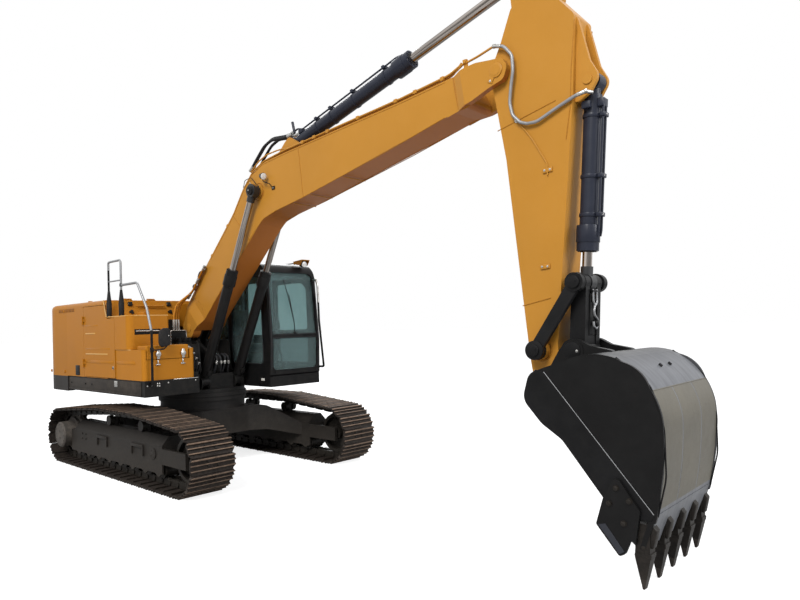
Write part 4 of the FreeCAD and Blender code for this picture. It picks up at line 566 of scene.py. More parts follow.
rubber = coated("rubber", (0.014, 0.015, 0.018), 0.55, vary=0.12, patch=12.0, dust=0.05, fine=300.0, **SHEEN)
painted(["revolving_frame", "valve_bank", "swing_motor"], deck_black)
painted(["counterweight", "lifting_eyes"], weight_orange)
painted(["housing_panels", "fuel_tank", "toolbox", "engine_hood", "right_service_door", "left_service_door",
         "toolbox_lid"], panel_orange)
painted(["engine_block"], drive_grey)

SIDE, TAIL_RADIUS = 1.355, 2.855
# Darker orange for the vent's slats: painted shade of its louvres.
vent_shade_orange = coated("vent_shade_orange", (0.20, 0.075, 0.012), 0.5, vary=0.12, dust=0.03, Specular_IOR_Level=0.12)
# Lighter orange for bars along the panels' edges and ribs: painted highlights.
highlight_orange = coated("highlight_orange", (0.62, 0.36, 0.11), 0.32, vary=0.06, dust=0.01, Specular_IOR_Level=0.2)
skirts = []
for side in (-1, 1):
    reach = (-1.60, 0.70) if side < 0 else (-1.60, -0.76)
    inner, outer = sorted((side * 1.3345, side * 1.342))
    skirts.append(block(skirt_grey, at(reach[0], inner, 1.10), at(reach[1], outer, 1.284), 0.003))
    inner, outer = sorted((side * 1.334, side * 1.348))
    skirts.append(block(skirt_grey, at(reach[0], inner, 1.10), at(reach[1], outer, 1.122), 0.003))
    skirts += bolts(deck_black, [at(x, side * 1.342, 1.20) for x in (-1.5, -1.0, -0.78)], (0, side, 0),
                    0.010)
skirts.append(block(bright_steel, at(-0.055, -1.346, 1.195), at(0.035, -1.341, 1.275), 0.002))
skirts += bolts(bright_steel, [at(-0.01, -1.346, z) for z in (1.21, 1.26)], (0, -1, 0), 0.006, 0.004)
front_bolts = [at(0.79, y, z) for y, z in ((-1.30, 1.235), (-1.235, 1.24), (-1.16, 1.225), (-1.16, 1.255),
                                          (-1.13, 1.225), (-1.13, 1.255), (-1.004, 1.258), (-0.60, 1.262))]
skirts += bolts(bright_steel, front_bolts, (1, 0, 0), 0.008, 0.006)
skirts.append(block(bright_steel, at(0.768, -0.93, 1.290), at(0.796, -0.56, 1.299), 0.003))
joined("deck_skirts", skirts, "house")

tail = []
for side in (-1, 1):
    for x, z in ((-2.25, 1.36), (-1.72, 1.36), (-1.72, 2.28)):
        tail += bolts(weight_orange, [at(x, side * SIDE, z)], (0, side, 0), 0.020, 0.014)
    vent = [block(deck_black, at(-1.315, side * SIDE - 0.004, 1.315), at(-1.160, side * SIDE + 0.004, 1.465),
                  0.006)]
    vent += [block(rubber, at(-1.300, side * (SIDE + 0.003) - 0.005, 1.334 + row * 0.034),
                   at(-1.175, side * (SIDE + 0.003) + 0.005, 1.342 + row * 0.034), 0.002, side * 0.5, "X")
             for row in range(4)]
    # Eleven darker orange slats high on each side form the engine vent, with its louvres' shade painted on.
    vent += [block(vent_shade_orange, at(-1.92 + row * 0.055, side * SIDE - 0.003, 2.262),
                   at(-1.885 + row * 0.055, side * SIDE + 0.003, 2.312), 0.002) for row in range(11)]
    tail += vent
reflector_red = shader_of("reflector_red", Base_Color=(0.35, 0.01, 0.01, 1), Roughness=0.25)[2]
for y in (-0.95, 0.95):
    x = -math.sqrt(TAIL_RADIUS ** 2 - y ** 2)
    tail.append(block(reflector_red, at(x - 0.001, y - 0.06, 1.42), at(x + 0.012, y + 0.06, 1.47), 0.0005,
                      -math.asin(y / TAIL_RADIUS), "Z"))
tail.append(block(deck_black, at(-2.78, -0.06, 2.385), at(-2.66, 0.06, 2.465), 0.014))
tail.append(rod(rubber, at(-2.777, 0, 2.43), at(-2.795, 0, 2.42), 0.026, 0.003))
joined("tail_fittings", tail, "house")

# Hinges of the pump cover on the sloping front, the exhaust's tail pipe and the left door's lock.
covers = []
for y in (-0.975, -0.37):
    covers.append(block(deck_black, at(-0.335, y - 0.030, 2.300), at(-0.275, y + 0.030, 2.360), 0.006, 1.21,
                        "Y"))
    covers.append(rod(bright_steel, at(-0.292, y - 0.032, 2.335), at(-0.292, y + 0.032, 2.335), 0.010, 0.002,
                      16))
    covers.append(block(deck_black, at(-0.285, y - 0.006, 2.215), at(-0.225, y + 0.030, 2.228), 0.004, 1.21,
                        "Y"))
    covers.append(rod(deck_black, at(-0.262, y - 0.02, 2.215), at(-0.238, y - 0.02, 2.222), 0.016, 0.003,
                      16))
covers.append(bar(panel_orange, [at(-0.268, -0.88, 2.305), at(-0.262, -0.46, 2.305)], 0.012))
pipe = rod(deck_black, at(-1.15, 0.66, 2.385), at(-1.15, 0.66, 2.56), 0.055, 0.004, 32)
collar = rod(bright_steel, at(-1.15, 0.66, 2.388), at(-1.15, 0.66, 2.41), 0.075, 0.004, 32)
outlet = bar(deck_black, [at(-1.15, 0.66, 2.52), at(-1.15, 0.66, 2.64), at(-1.28, 0.70, 2.69)], 0.050, 0.08,
             8)
mouth = rod(rubber, at(-1.262, 0.694, 2.683), at(-1.282, 0.701, 2.6905), 0.043, 0.001, 32)
joined("cover_hinges", covers + [pipe, collar, outlet, mouth], "house")
lock = [rod(bright_steel, at(-0.86, SIDE - 0.002, 1.90), at(-0.86, SIDE + 0.008, 1.90), 0.030, 0.003),
        block(deck_black, at(-0.89, SIDE + 0.004, 1.888), at(-0.83, SIDE + 0.016, 1.912), 0.004)]
joined("left_door_lock", lock, "left_door")
lock = [rod(bright_steel, at(-0.05, -SIDE + 0.002, 1.45), at(-0.05, -SIDE - 0.006, 1.45), 0.024, 0.003),
        block(deck_black, at(-0.072, -SIDE - 0.012, 1.443), at(-0.028, -SIDE - 0.004, 1.457), 0.003)]
pressed = [block(panel_orange, at(-0.940, -1.3552, z), at(-0.940 + long, -1.349, z + 0.022), 0.0002)
           for z, long in ((2.030, 0.420), (1.700, 0.800))]
# The lighter orange strips on the door's pressed ribs are painted highlights.
pressed += [block(highlight_orange, at(-0.935, -1.3590, z), at(reach, -1.354, z + 0.016), 0.0024)
            for z, reach in ((1.920, -0.600), (1.628, -0.215))]
pressed.append(block(panel_orange, at(-0.945, -1.3585, 1.505), at(-0.045, -1.354, 1.545), 0.004))
joined("right_door_lock", lock + pressed, "right_door")

# Toggle latches: an oval lever over the lid's edge and its catch below, with a steel bar over a thin black
# sheet of painted shade in the tank's recess.  Lighter orange bars along the tank's and toolbox's edges are
# painted highlights.
latches = []
catches = []
for y in (-1.140, -0.780):
    latches.append(block(bright_steel, at(0.792, y - 0.020, 1.572), at(0.798, y + 0.020, 1.690), 0.002))
    latches.append(rod(bright_steel, at(0.795, y, 1.635), at(0.803, y, 1.635), 0.036, 0.003))
    latches.append(rod(bright_steel, at(0.800, y, 1.600), at(0.800, y, 1.675), 0.009, 0.002, 12))
    latches += bolts(bright_steel, [at(0.797, y, 1.684)], (1, 0, 0), 0.007, 0.005)
    catches.append(block(bright_steel, at(0.774, y - 0.008, 1.500), at(0.786, y + 0.008, 1.558), 0.003))
    catches.append(rod(bright_steel, at(0.784, y - 0.030, 1.500), at(0.784, y + 0.030, 1.500), 0.010, 0.003,
                       16))
joined("lid_latches", latches, "toolbox_lid")
# The thin black sheet in the tank's recess is painted shade.
catches.append(block(deck_black, at(0.403, -1.268, 1.894), at(0.4045, -0.897, 1.964), 0.0005))
catches.append(bar(bright_steel, [at(0.409, -1.250, 1.940), at(0.409, -0.915, 1.940)], 0.010))
catches.append(rod(panel_orange, at(0.2, -1.05, 2.184), at(0.2, -1.05, 2.199), 0.062, 0.006, 32))
catches.append(block(panel_orange, at(0.15, -1.062, 2.196), at(0.25, -1.038, 2.206), 0.004))
# Lighter orange bars along the tank's top edges, its sloping front edge and the toolbox's top edges are
# painted highlights.
rim = [at(-0.232, -1.350, 2.1470), at(0.345, -1.350, 2.1470), at(0.411, -1.280, 2.1470),
       at(0.411, -0.780, 2.1470)]
catches.append(bar(highlight_orange, rim, 0.007, 0.05, 3))
catches.append(bar(highlight_orange, [at(0.010, -1.338, 1.694), at(0.440, -1.338, 1.694)], 0.006, 0.02, 3))
catches.append(bar(highlight_orange, [at(-0.335, -1.350, 2.385), at(-0.246, -1.350, 2.152)], 0.007, 0.02, 3))
catches.append(bar(highlight_orange, [at(0.770, -1.20, 1.692), at(0.770, -0.65, 1.692)], 0.004, 0.02, 3))
catches.append(block(panel_orange, at(0.020, -1.3475, 1.505), at(0.560, -1.3425, 1.545), 0.004))
joined("tank_fittings", catches, "house")


# ---------------------------------------------------------------- hoses between the deck and the boom
# Wire-braided rubber hoses with zinc crimped ends run from the valve's cover to the steel pipes on the
# boom's back.  They hang in a bow, because the boom turns about its foot.  More lie on the deck.
rail_metal = coated("zinc_grey", (0.34, 0.33, 0.31), 0.34, vary=0.12, patch=14.0, dust=0.04, Metallic=0.6)


def hose(points, radius, ends=(True, True), bend=0.16, body=None):
    """Rubber hose with a crimped sleeve and a nut at each end that is asked for."""
    pieces = [bar(body or rubber, points, radius, bend, 5)]
    for wanted, tip, inward in ((ends[0], points[0], points[1]), (ends[1], points[-1], points[-2])):
        if wanted:
            tip, inward = Vector(tip), Vector(inward)
            run = (inward - tip).normalized()
            pieces.append(rod(bright_steel, tip + run * 0.012, tip + run * 0.075, radius * 1.22, 0.002, 16))
            pieces.append(rod(yellow_metal, tip - run * 0.012, tip + run * 0.014, radius * 1.45, 0.002, 6))
    return pieces


risers = []
for y, lean, radius in ((-0.400, 0.02, 0.0150), (-0.455, 0.05, 0.0150), (-0.510, 0.08, 0.0135)):
    near = -0.212 + (y + 0.400) * 0.35
    foot = at(0.01 + lean, y, 1.945)
    route = [foot, at(0.01 + lean, y, 2.14), at(-0.03 + lean, y * 0.86, 2.31), at(0.10 + lean, near, 2.490),
             at(0.32 + lean, near, 2.715), at(0.44 + lean, near, 2.835)]
    risers += hose(route, radius, body=panel_orange)
    risers.append(rod(rail_metal, foot, foot + Vector((0, 0, 0.15)), radius * 1.35, 0.002, 16))
    for spot, ahead in ((at(0.055 + lean, near * 1.12, 2.435), (0.72, 0, 0.69)),
                        (at(0.255 + lean, near, 2.645), (0.70, 0, 0.71))):
        step = Vector(ahead) * 0.045
        risers.append(rod(rail_metal, spot - step, spot + step, radius * 1.35, 0.002, 16))
        risers.append(rod(bright_steel, spot + step * 0.2, spot + step * 0.7, radius * 1.55, 0.002, 6))
bow = joined("boom_hoses", risers, None, 40)
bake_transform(bow)

deck_pieces = []
rim = [at(0.146, -0.592, 1.72), at(0.146, -0.592, 1.936), at(0.146, -0.345, 1.936), at(0.146, -0.333, 1.70)]
deck_pieces.append(bar(bright_steel, rim, 0.006, 0.05))
deck_pieces += bolts(bright_steel, [at(0.143, -0.52, 1.760), at(0.143, -0.47, 1.768)], (1, 0, 0), 0.010,
                     0.008)
SPOOLS_Z = 1.775
for x in (0.177, 0.232, 0.287):
    for y in (-0.53, -0.44, -0.37):
        deck_pieces.append(rod(deck_black, at(x, y, SPOOLS_Z - 0.008), at(x, y, SPOOLS_Z + 0.035), 0.019,
                               0.003, 6))
        deck_pieces.append(rod(deck_black, at(x, y, SPOOLS_Z + 0.03), at(x, y, SPOOLS_Z + 0.055), 0.015,
                               0.002, 16))
for index, y in enumerate((-0.560, -0.520, -0.480, -0.440)):
    deck_pieces += hose([at(0.562, y, 1.70 - index * 0.07), at(0.63, y, 1.68 - index * 0.07),
                         at(0.60, y + 0.02, 1.42), at(0.50, y + 0.03, 1.30)], 0.016, (True, False), 0.07)
for y, x in ((0.300, -0.18), (0.345, -0.10), (-0.300, -0.16)):
    deck_pieces += hose([at(x, y, 1.31), at(x, y, 1.55), at(x - 0.12, y * 0.8, 1.78),
                         at(-0.32, y * 0.5, 1.82)], 0.020, (True, True), 0.12)
for x, y in ((0.22, 0.30), (0.26, 0.345)):
    deck_pieces += hose([at(x - 0.5, y, 1.33), at(x, y, 1.335), at(x + 0.08, y - 0.02, 1.31)], 0.020,
                        (False, False), 0.08)
deck_pieces.append(block(deck_black, at(-0.2385, -0.760, 1.70), at(-0.2320, -0.262, 2.105), 0.002))
for side in (-1, 1):
    deck_pieces.append(block(deck_black, at(-0.29, side * 0.2480 - 0.001, 1.80),
                             at(-0.235, side * 0.2480 + 0.001, 2.10), 0.0005))
for y, lean in ((-0.035, -0.006), (0.035, 0.006), (0.105, -0.006), (0.165, 0.003)):
    top, foot = at(0.450, y, 1.482), at(0.444, y + lean, 1.432)
    deck_pieces += hose([foot, at(0.43, y + lean * 1.6, 1.39), at(0.40, y + lean * 3, 1.31),
                         at(0.33, y + lean * 4, 1.26)], 0.0155, (False, False), 0.05)
    deck_pieces += hose([top, at(0.44, y - lean, 1.535), at(0.36, y - lean, 1.575),
                         at(0.26, y - lean * 2, 1.53)], 0.0150, (False, False), 0.05)
    deck_pieces.append(rod(bright_steel, foot, top, 0.0195, 0.003, 16))
    deck_pieces.append(rod(bright_steel, foot + (top - foot) * 0.35, foot + (top - foot) * 0.65, 0.0235,
                           0.002, 6))
joined("deck_hoses", deck_pieces, "house", 40)


# ---------------------------------------------------------------- cab
# The cab is pressed steel tube and sheet in black, with tinted glass set in rubber seals.  Behind the
# glass are the sprung seat, the two consoles with their levers and the pedals.
def glazing(name, tint):
    """Tinted safety glass, with a little unevenness in its face."""
    tree, shader, material = shader_of(name, Base_Color=(*tint, 1), Roughness=0.03, Transmission_Weight=0.87,
                                       IOR=1.12)
    place = node(tree, "TexCoord").outputs["Object"]
    wave = node(tree, "TexNoise", {"Vector": place, "Scale": 1.6, "Detail": 2.0}).outputs[0]
    film = node(tree, "TexNoise", {"Vector": place, "Scale": 7.0, "Detail": 9.0}).outputs[0]
    tree.links.new(spread(tree, film, 0.4, 0.8, 0.02, 0.10), shader.inputs["Roughness"])
    tree.links.new(node(tree, "Bump", {"Strength": 0.05, "Distance": 0.01, "Height": wave}).outputs[0],
                   shader.inputs["Normal"])
    return material


cab_black = coated("cab_black", (0.0065, 0.0065, 0.007), 0.30, vary=0.15, dust=0.015, fine=300.0, bump=0.01,
                   **SHEEN)
moulded = coated("moulded_plastic", (0.014, 0.014, 0.015), 0.60, vary=0.1, dust=0.03, fine=420.0, bump=0.10,
                 **SHEEN)
lens_white = coated("lamp_lens", (0.72, 0.72, 0.70), 0.15, vary=0.04, patch=40.0, dust=0.02)
painted(["cab_body", "cab_door"], cab_black)
painted(["cab_glass", "cab_door_glass"], glazing("tinted_glass", (0.38, 0.51, 0.51)))
painted(["control_consoles"], moulded)

cab_trim = []
for y in (0.438, 1.329):
    cab_trim.append(bar(rubber, [at(1.117, y, 1.34), at(1.137, y, 1.74), at(1.105, y, 2.35),
                                 at(1.048, y, 2.66)], 0.011, 0.25, 4))
cab_trim.append(bar(rubber, [at(1.130, 0.47, 1.838), at(1.130, 1.30, 1.838)], 0.008))
cab_trim.append(bar(rubber, [at(1.128, 0.47, 1.787), at(1.128, 1.30, 1.787)], 0.008))
cab_trim.append(block(cab_black, at(1.120, 0.62, 1.800), at(1.138, 0.74, 1.826), 0.006))
wiper = bar(cab_black, [at(1.128, 0.88, 1.86), at(1.141, 0.86, 2.00), at(1.120, 0.79, 2.42)], 0.006, 0.05)
blade = bar(rubber, [at(1.138, 0.850, 2.06), at(1.118, 0.755, 2.46), at(1.094, 0.715, 2.64)], 0.006, 0.1)
cab_trim += [wiper, blade, rod(cab_black, at(1.10, 0.88, 1.85), at(1.142, 0.88, 1.85), 0.022, 0.004)]
cab_trim += bolts(cab_black, [at(1.143, y, 1.30) for y in (0.50, 1.26)], (1, 0, 0), 0.010)
for x0, x1, z0, z1 in ((-0.66, 0.13, 1.69, 2.71), (0.19, 0.99, 1.41, 2.71)):
    lean = 0.055 if x1 > 0.5 else 0.02
    seal = [(x0 + 0.06, z0 + 0.01), (x1 - 0.06, z0 + 0.01), (x1 - 0.02, z0 + 0.08), (x1 - lean, z1 - 0.09),
            (x1 - 0.12, z1 - 0.015), (x0 + 0.06, z1 - 0.015), (x0 + 0.015, z1 - 0.08),
            (x0 + 0.015, z0 + 0.07), (x0 + 0.06, z0 + 0.01)]
    cab_trim.append(bar(rubber, [at(x, 0.411, z) for x, z in seal], 0.007, 0.04, 3))
cab_trim.append(bar(cab_black, [at(-0.60, 0.400, 2.78), at(0.70, 0.400, 2.78)], 0.012))
cab_trim += [block(cab_black, at(x, 0.398, 2.772), at(x + 0.03, 0.414, 2.788), 0.003)
             for x in (-0.60, 0.05, 0.67)]
cab_trim.append(block(cab_black, at(-0.30, 0.66, 2.896), at(-0.06, 1.10, 2.925), 0.012))
for y in (0.52, 1.25):
    cab_trim.append(bar(cab_black, [at(-0.45, y, 2.900), at(-0.45, y, 2.935), at(0.72, y, 2.935),
                                    at(0.72, y, 2.895)], 0.009, 0.03))
cab_trim.append(block(moulded, at(0.10, 0.415, 1.30), at(0.96, 0.4185, 1.38), 0.001))
joined("cab_trim", cab_trim, "house")

# Roof lamp in its orange bracket, the left rail, the pale lining inside and the door's trim.
lamps = [plate(panel_orange, [(0.900, 2.898), (1.060, 2.865), (1.105, 2.925), (1.100, 2.946),
                              (0.905, 2.934)], y0, y0 + 0.007, 0.002) for y0 in (1.075, 1.218)]
lamps.append(plate(panel_orange, [(0.900, 2.926), (1.112, 2.940), (1.112, 2.950), (0.900, 2.936)], 1.070,
                   1.230, 0.003))
lamps.append(rod(cab_black, at(1.000, 1.150, 2.890), at(1.085, 1.135, 2.880), 0.040, 0.008, 32, 0.050))
lamps.append(rod(lens_white, at(1.078, 1.137, 2.8805), at(1.091, 1.134, 2.879), 0.042, 0.003, 32))
rail_points = [(1.060, 1.300, 2.640), (1.175, 1.283, 2.652), (1.200, 1.290, 2.560), (1.200, 1.301, 2.034),
               (1.200, 1.375, 1.330), (1.115, 1.345, 1.330)]
lamps.append(bar(cab_black, [at(*spot) for spot in rail_points], 0.0165, 0.05))
lamps.append(bar(bright_steel, [at(1.090, 1.296, 2.6435), at(1.175, 1.283, 2.652), at(1.200, 1.290, 2.560),
                                at(1.200, 1.297, 2.30)], 0.0180, 0.05))
for z, x in ((2.640, 1.062), (1.330, 1.112)):
    lamps.append(block(cab_black, at(x - 0.012, 1.318 - 0.04, z - 0.03),
                       at(x + 0.014, 1.318 + 0.036, z + 0.03), 0.005))
roof_set = joined("cab_lamp_and_rail", lamps, "house")
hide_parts("cab_fittings")
lining = coated("cab_lining", (0.40, 0.43, 0.45), 0.75, vary=0.08, patch=6.0, dust=0.04, fine=320.0,
                bump=0.08, **SHEEN)
roof_and_walls = (
    ((-0.66, 0.46, 2.838), (0.09, 1.31, 2.850)), ((0.65, 0.46, 2.838), (0.86, 1.31, 2.850)),
    ((0.09, 0.46, 2.838), (0.65, 0.575, 2.850)), ((0.09, 1.195, 2.838), (0.65, 1.31, 2.850)),
    ((-0.69, 1.300, 2.710), (0.93, 1.309, 2.835)), ((0.005, 1.300, 1.35), (0.078, 1.309, 2.710)),
    ((-0.695, 0.46, 1.35), (-0.686, 1.30, 1.79)), ((-0.695, 0.46, 2.66), (-0.686, 1.30, 2.84)),
    ((-0.695, 1.255, 1.79), (-0.686, 1.30, 2.66)), ((-0.695, 0.46, 1.79), (-0.686, 0.512, 2.66)),
    ((-0.69, 1.300, 1.35), (0.005, 1.309, 1.74)))
door_frame = (
    ((0.100, 1.3135, 1.33), (0.152, 1.3220, 2.66)), ((0.923, 1.3135, 1.33), (0.972, 1.3220, 2.50)),
    ((0.152, 1.3135, 1.838), (0.923, 1.3220, 1.892)), ((0.152, 1.3135, 2.638), (0.80, 1.3220, 2.672)),
    ((0.152, 1.3135, 1.33), (0.923, 1.3220, 1.392)))
liners = [block(lining, at(*low), at(*high), 0.003) for low, high in roof_and_walls]
plate_white = coated("plate_white", (0.62, 0.60, 0.56), 0.5, vary=0.06, dust=0.03, **SHEEN)
liners.append(block(plate_white, at(0.905, 0.4095, 1.178), at(0.985, 0.4135, 1.212), 0.001))
joined("cab_lining", liners, "house")
liners = [block(lining, at(*low), at(*high), 0.003) for low, high in door_frame]
joined("cab_door_lining", liners, "cab_door")
trim = [bar(rubber, [at(0.11, 1.357, 1.33), at(0.96, 1.357, 1.33), at(0.96, 1.357, 2.50),
                     at(0.80, 1.357, 2.68), at(0.11, 1.357, 2.68), at(0.11, 1.357, 1.33)], 0.006, 0.08, 3),
        bar(cab_black, [at(0.14, 1.352, 1.50), at(0.14, 1.384, 1.53), at(0.14, 1.384, 2.05),
                        at(0.14, 1.352, 2.08)], 0.011, 0.03),
        rod(bright_steel, at(0.94, 1.376, 1.68), at(0.94, 1.382, 1.68), 0.014, 0.002)]
joined("cab_door_trim", trim, "cab_door")

# Seat: woven covers over foam on a sprung plinth; the cushions are blown up a little, then left to rest.
tree, shader, seat_cloth = shader_of("seat_cloth", Roughness=0.92, Sheen_Weight=0.3)
spot = node(tree, "TexCoord").outputs["Object"]
threads = {"Vector": spot, "Scale": 170.0, "Distortion": 0.6}
warp = node(tree, "TexWave", threads, bands_direction="X").outputs[1]
weft = node(tree, "TexWave", threads, bands_direction="Z").outputs[1]
weave = node(tree, "Math", {0: warp, 1: weft}, operation="MULTIPLY").outputs[0]
faded = node(tree, "TexNoise", {"Vector": spot, "Scale": 5.0, "Detail": 6.0}).outputs[0]
cloth_tone = blended(tree, spread(tree, faded, 0.3, 0.7), (0.016, 0.017, 0.019), (0.034, 0.034, 0.036))
tree.links.new(cloth_tone, shader.inputs["Base Color"])
relief = node(tree, "Bump", {"Strength": 0.4, "Distance": 0.001, "Height": weave})
tree.links.new(relief.outputs[0], shader.inputs["Normal"])
SEAT_Y = 0.8835
PUFF = 0.016


def padded_form(name, low, high, tilt, steps):
    """Cushion between two corners: remeshed, blown up as cloth by PUFF at most and leaned back."""
    size = Vector(high) - Vector(low)
    shape = block(seat_cloth, low, high, min(size) * 0.32, steps=4)
    middle = (Vector(low) + Vector(high)) / 2
    select(shape)
    remesh = shape.modifiers.new("even", "REMESH")
    remesh.mode = "VOXEL"
    remesh.voxel_size = 0.012
    bpy.ops.object.modifier_apply(modifier=remesh.name)
    start = [vertex.co.copy() for vertex in shape.data.vertices]
    cloth = shape.modifiers.new("blow", "CLOTH")
    cloth.settings.use_pressure = True
    cloth.settings.uniform_pressure_force = 3.0
    cloth.settings.effector_weights.gravity = 0.0
    for moment in range(1, steps + 1):
        bpy.context.scene.frame_set(moment)
    bpy.ops.object.modifier_apply(modifier=cloth.name)
    for vertex, before in zip(shape.data.vertices, start):
        moved = vertex.co - before
        if moved.length > PUFF:
            vertex.co = before + moved.normalized() * PUFF
    for vertex in shape.data.vertices:
        across = (vertex.co - middle).x / size.x if size.x > size.z else (vertex.co - middle).z / size.z
        groove = min(abs(abs(across) - 0.17), 0.03) / 0.03
        side = (vertex.co - middle).y / size.y
        vertex.co = middle + (vertex.co - middle) * (1 - 0.020 * (1 - groove) * (1 - side * side))
    lean = Matrix.Rotation(tilt, 4, "Y")
    shape.data.transform(Matrix.Translation(middle) @ lean @ Matrix.Translation(-middle))
    smooth = shape.modifiers.new("smooth", "SUBSURF")
    smooth.levels = smooth.render_levels = 1
    select(shape)
    bpy.ops.object.modifier_apply(modifier=smooth.name)
    pad = joined(name, [shape], "house", 60)
    return pad


cushion = padded_form("seat_cushion", at(-0.245, SEAT_Y - 0.235, 1.580), at(0.235, SEAT_Y + 0.235, 1.680),
                      -0.04, 18)
backrest = padded_form("seat_backrest", at(-0.345, SEAT_Y - 0.225, 1.690), at(-0.235, SEAT_Y + 0.225, 2.260),
                       -0.16, 18)
headrest = padded_form("seat_headrest", at(-0.400, SEAT_Y - 0.120, 2.320), at(-0.330, SEAT_Y + 0.120, 2.470),
                       -0.12, 14)
seat_frame = [block(moulded, at(-0.225, SEAT_Y - 0.195, 1.322), at(0.165, SEAT_Y + 0.195, 1.40), 0.015),
              block(moulded, at(-0.215, SEAT_Y - 0.185, 1.50), at(0.155, SEAT_Y + 0.185, 1.575), 0.015),
              block(moulded, at(-0.400, SEAT_Y - 0.215, 1.70), at(-0.375, SEAT_Y + 0.215, 2.20), 0.012,
                    -0.16)]
for row in range(5):
    low = 1.398 + row * 0.021
    seat_frame.append(block(rubber, at(-0.205 + (row % 2) * 0.012, SEAT_Y - 0.175, low),
                            at(0.145 - (row % 2) * 0.012, SEAT_Y + 0.175, low + 0.022), 0.006))
for y in (-0.07, 0.07):
    seat_frame.append(rod(bright_steel, at(-0.335, SEAT_Y + y, 2.22), at(-0.358, SEAT_Y + y, 2.36), 0.007,
                          sides=12))
seat_frame.append(block(moulded, at(-0.285, SEAT_Y - 0.2, 1.55), at(-0.245, SEAT_Y + 0.2, 1.74), 0.012))
seat_base = joined("seat_frame", seat_frame, "house")
for whole in (seat_base, cushion, backrest, headrest):
    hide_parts("operator_seat")
inside = [rod(moulded, at(0.20, SEAT_Y + side * 0.315, 1.825), at(0.20, SEAT_Y + side * 0.315, 1.845), 0.035,
              0.004) for side in (-1, 1)]
inside.append(block(moulded, at(0.86, 0.55, 1.62), at(0.95, 0.72, 1.90), 0.02))
inside.append(block(bright_steel, at(0.852, 0.565, 1.72), at(0.861, 0.705, 1.87), 0.002))
inside.append(block(moulded, at(-0.62, 0.55, 1.30), at(-0.45, 1.22, 1.66), 0.03))
joined("cab_inside_trim", inside, "house")


# ---------------------------------------------------------------- handrails and the right mirror
# Steel tube bent into a loop on the tank and a long rail down to the deck.  The loop's posts carry
# moulded grips that widen towards their feet, and a mirror is clamped to the front post.
rail_grey = coated("rail_grey", (0.26, 0.265, 0.275), 0.38, vary=0.10, patch=8.0, dust=0.05, Metallic=0.35)
X0, X1, RAIL_Y = -0.205, 0.168, -1.325
PUT = {"low": 2.15, "grip": 2.46, "top": 2.902, "rung": 2.632}
loop = [bar(cab_black, [at(X0, RAIL_Y, PUT["low"]), at(X0, RAIL_Y, 2.80)], 0.0145),
        bar(rail_grey, [at(X0, RAIL_Y, 2.79), at(X0, RAIL_Y, PUT["top"]), at(X1, RAIL_Y, PUT["top"]),
                        at(X1, RAIL_Y, PUT["low"])], 0.015, 0.09),
        rod(rail_grey, at(X0, RAIL_Y, PUT["rung"]), at(X1, RAIL_Y, PUT["rung"]), 0.010, sides=16)]
for x in (X0, X1):
    loop.append(rod(moulded, at(x, RAIL_Y, PUT["low"]), at(x, RAIL_Y, PUT["low"] + 0.17), 0.035, 0.004, 24,
                    0.037))
    loop.append(rod(moulded, at(x, RAIL_Y, PUT["low"] + 0.168), at(x, RAIL_Y, PUT["grip"] + 0.04), 0.037,
                    0.0, 24, 0.0165))
    loop.append(block(panel_orange, at(x - 0.035, RAIL_Y - 0.029, PUT["low"] - 0.004),
                      at(x + 0.035, RAIL_Y + 0.045, PUT["low"] + 0.008), 0.004))
loop.append(rod(cab_black, at(X1, RAIL_Y, 2.545), at(X1, RAIL_Y, 2.585), 0.021, 0.003))
loop.append(bar(rail_grey, [at(X1, RAIL_Y, 2.563), at(0.555, -1.29, 2.572), at(0.745, -1.262, 2.235),
                            at(0.840, -1.2555, 1.940)], 0.0165, 0.08))
loop.append(bar(cab_black, [at(0.832, -1.256, 1.960), at(0.845, -1.255, 1.925), at(0.840, -1.255, 1.24)],
                0.0165, 0.08))
for z in (1.25, 1.28):
    loop.append(rod(cab_black, at(0.79, -1.255, z), at(0.845, -1.255, z), 0.012, 0.002, 16))
loop.append(block(cab_black, at(0.790, -1.285, 1.235), at(0.798, -1.225, 1.295), 0.003))
rails = joined("rails_and_grips", loop, "house")
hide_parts("handrails")

mirror = plate(moulded, [(-1.162, 1.790), (-1.160, 1.885), (-1.142, 1.940), (-1.105, 1.968), (-1.030, 1.970),
                         (-1.008, 1.950), (-1.004, 1.860), (-1.004, 1.770), (-1.018, 1.742), (-1.120, 1.724),
                         (-1.150, 1.745)], 0.832, 0.872, 0.010, "YZ", 3)
glass = block(bright_steel, at(0.829, -1.140, 1.760), at(0.833, -1.020, 1.930), 0.001)
stay = bar(cab_black, [at(0.845, -1.255, 1.695), at(0.850, -1.20, 1.690), at(0.852, -1.09, 1.700),
                       at(0.852, -1.05, 1.735)], 0.009, 0.03)
clamp = rod(cab_black, at(0.842, -1.255, 1.665), at(0.842, -1.255, 1.725), 0.024, 0.004)
nut = bolts(bright_steel, [at(0.873, -1.03, 1.87)], (1, 0, 0), 0.006, 0.004)
joined("right_mirror", [mirror, glass, stay, clamp] + nut, "house")


# ---------------------------------------------------------------- boom
# Welded box girder in a paler, yellower copy of the machine's orange that paints light on it, with bent side
# plates at foot and tip; painted shade darkens what faces down.  Steel pipes are clamped along its back, a
# work lamp stands on its side, and weld beads show where plates meet.
# boom_orange is a paler, yellower copy of the machine's orange, with a pale dust tone: painted light on the
# raised boom and arm.
boom_orange = coated("boom_orange", (0.44, 0.200, 0.027), 0.34, vary=0.045, patch=0.9, dust=0.02, fine=240.0,
                     bump=0.012, dust_tone=(0.44, 0.29, 0.13), Specular_IOR_Level=0.16)
bead_orange = coated("bead_orange", (0.36, 0.150, 0.016), 0.42, vary=0.12, patch=60.0, dust=0.02, fine=200.0,
                     bump=0.25, Specular_IOR_Level=0.12)
painted(["arm"], boom_orange)


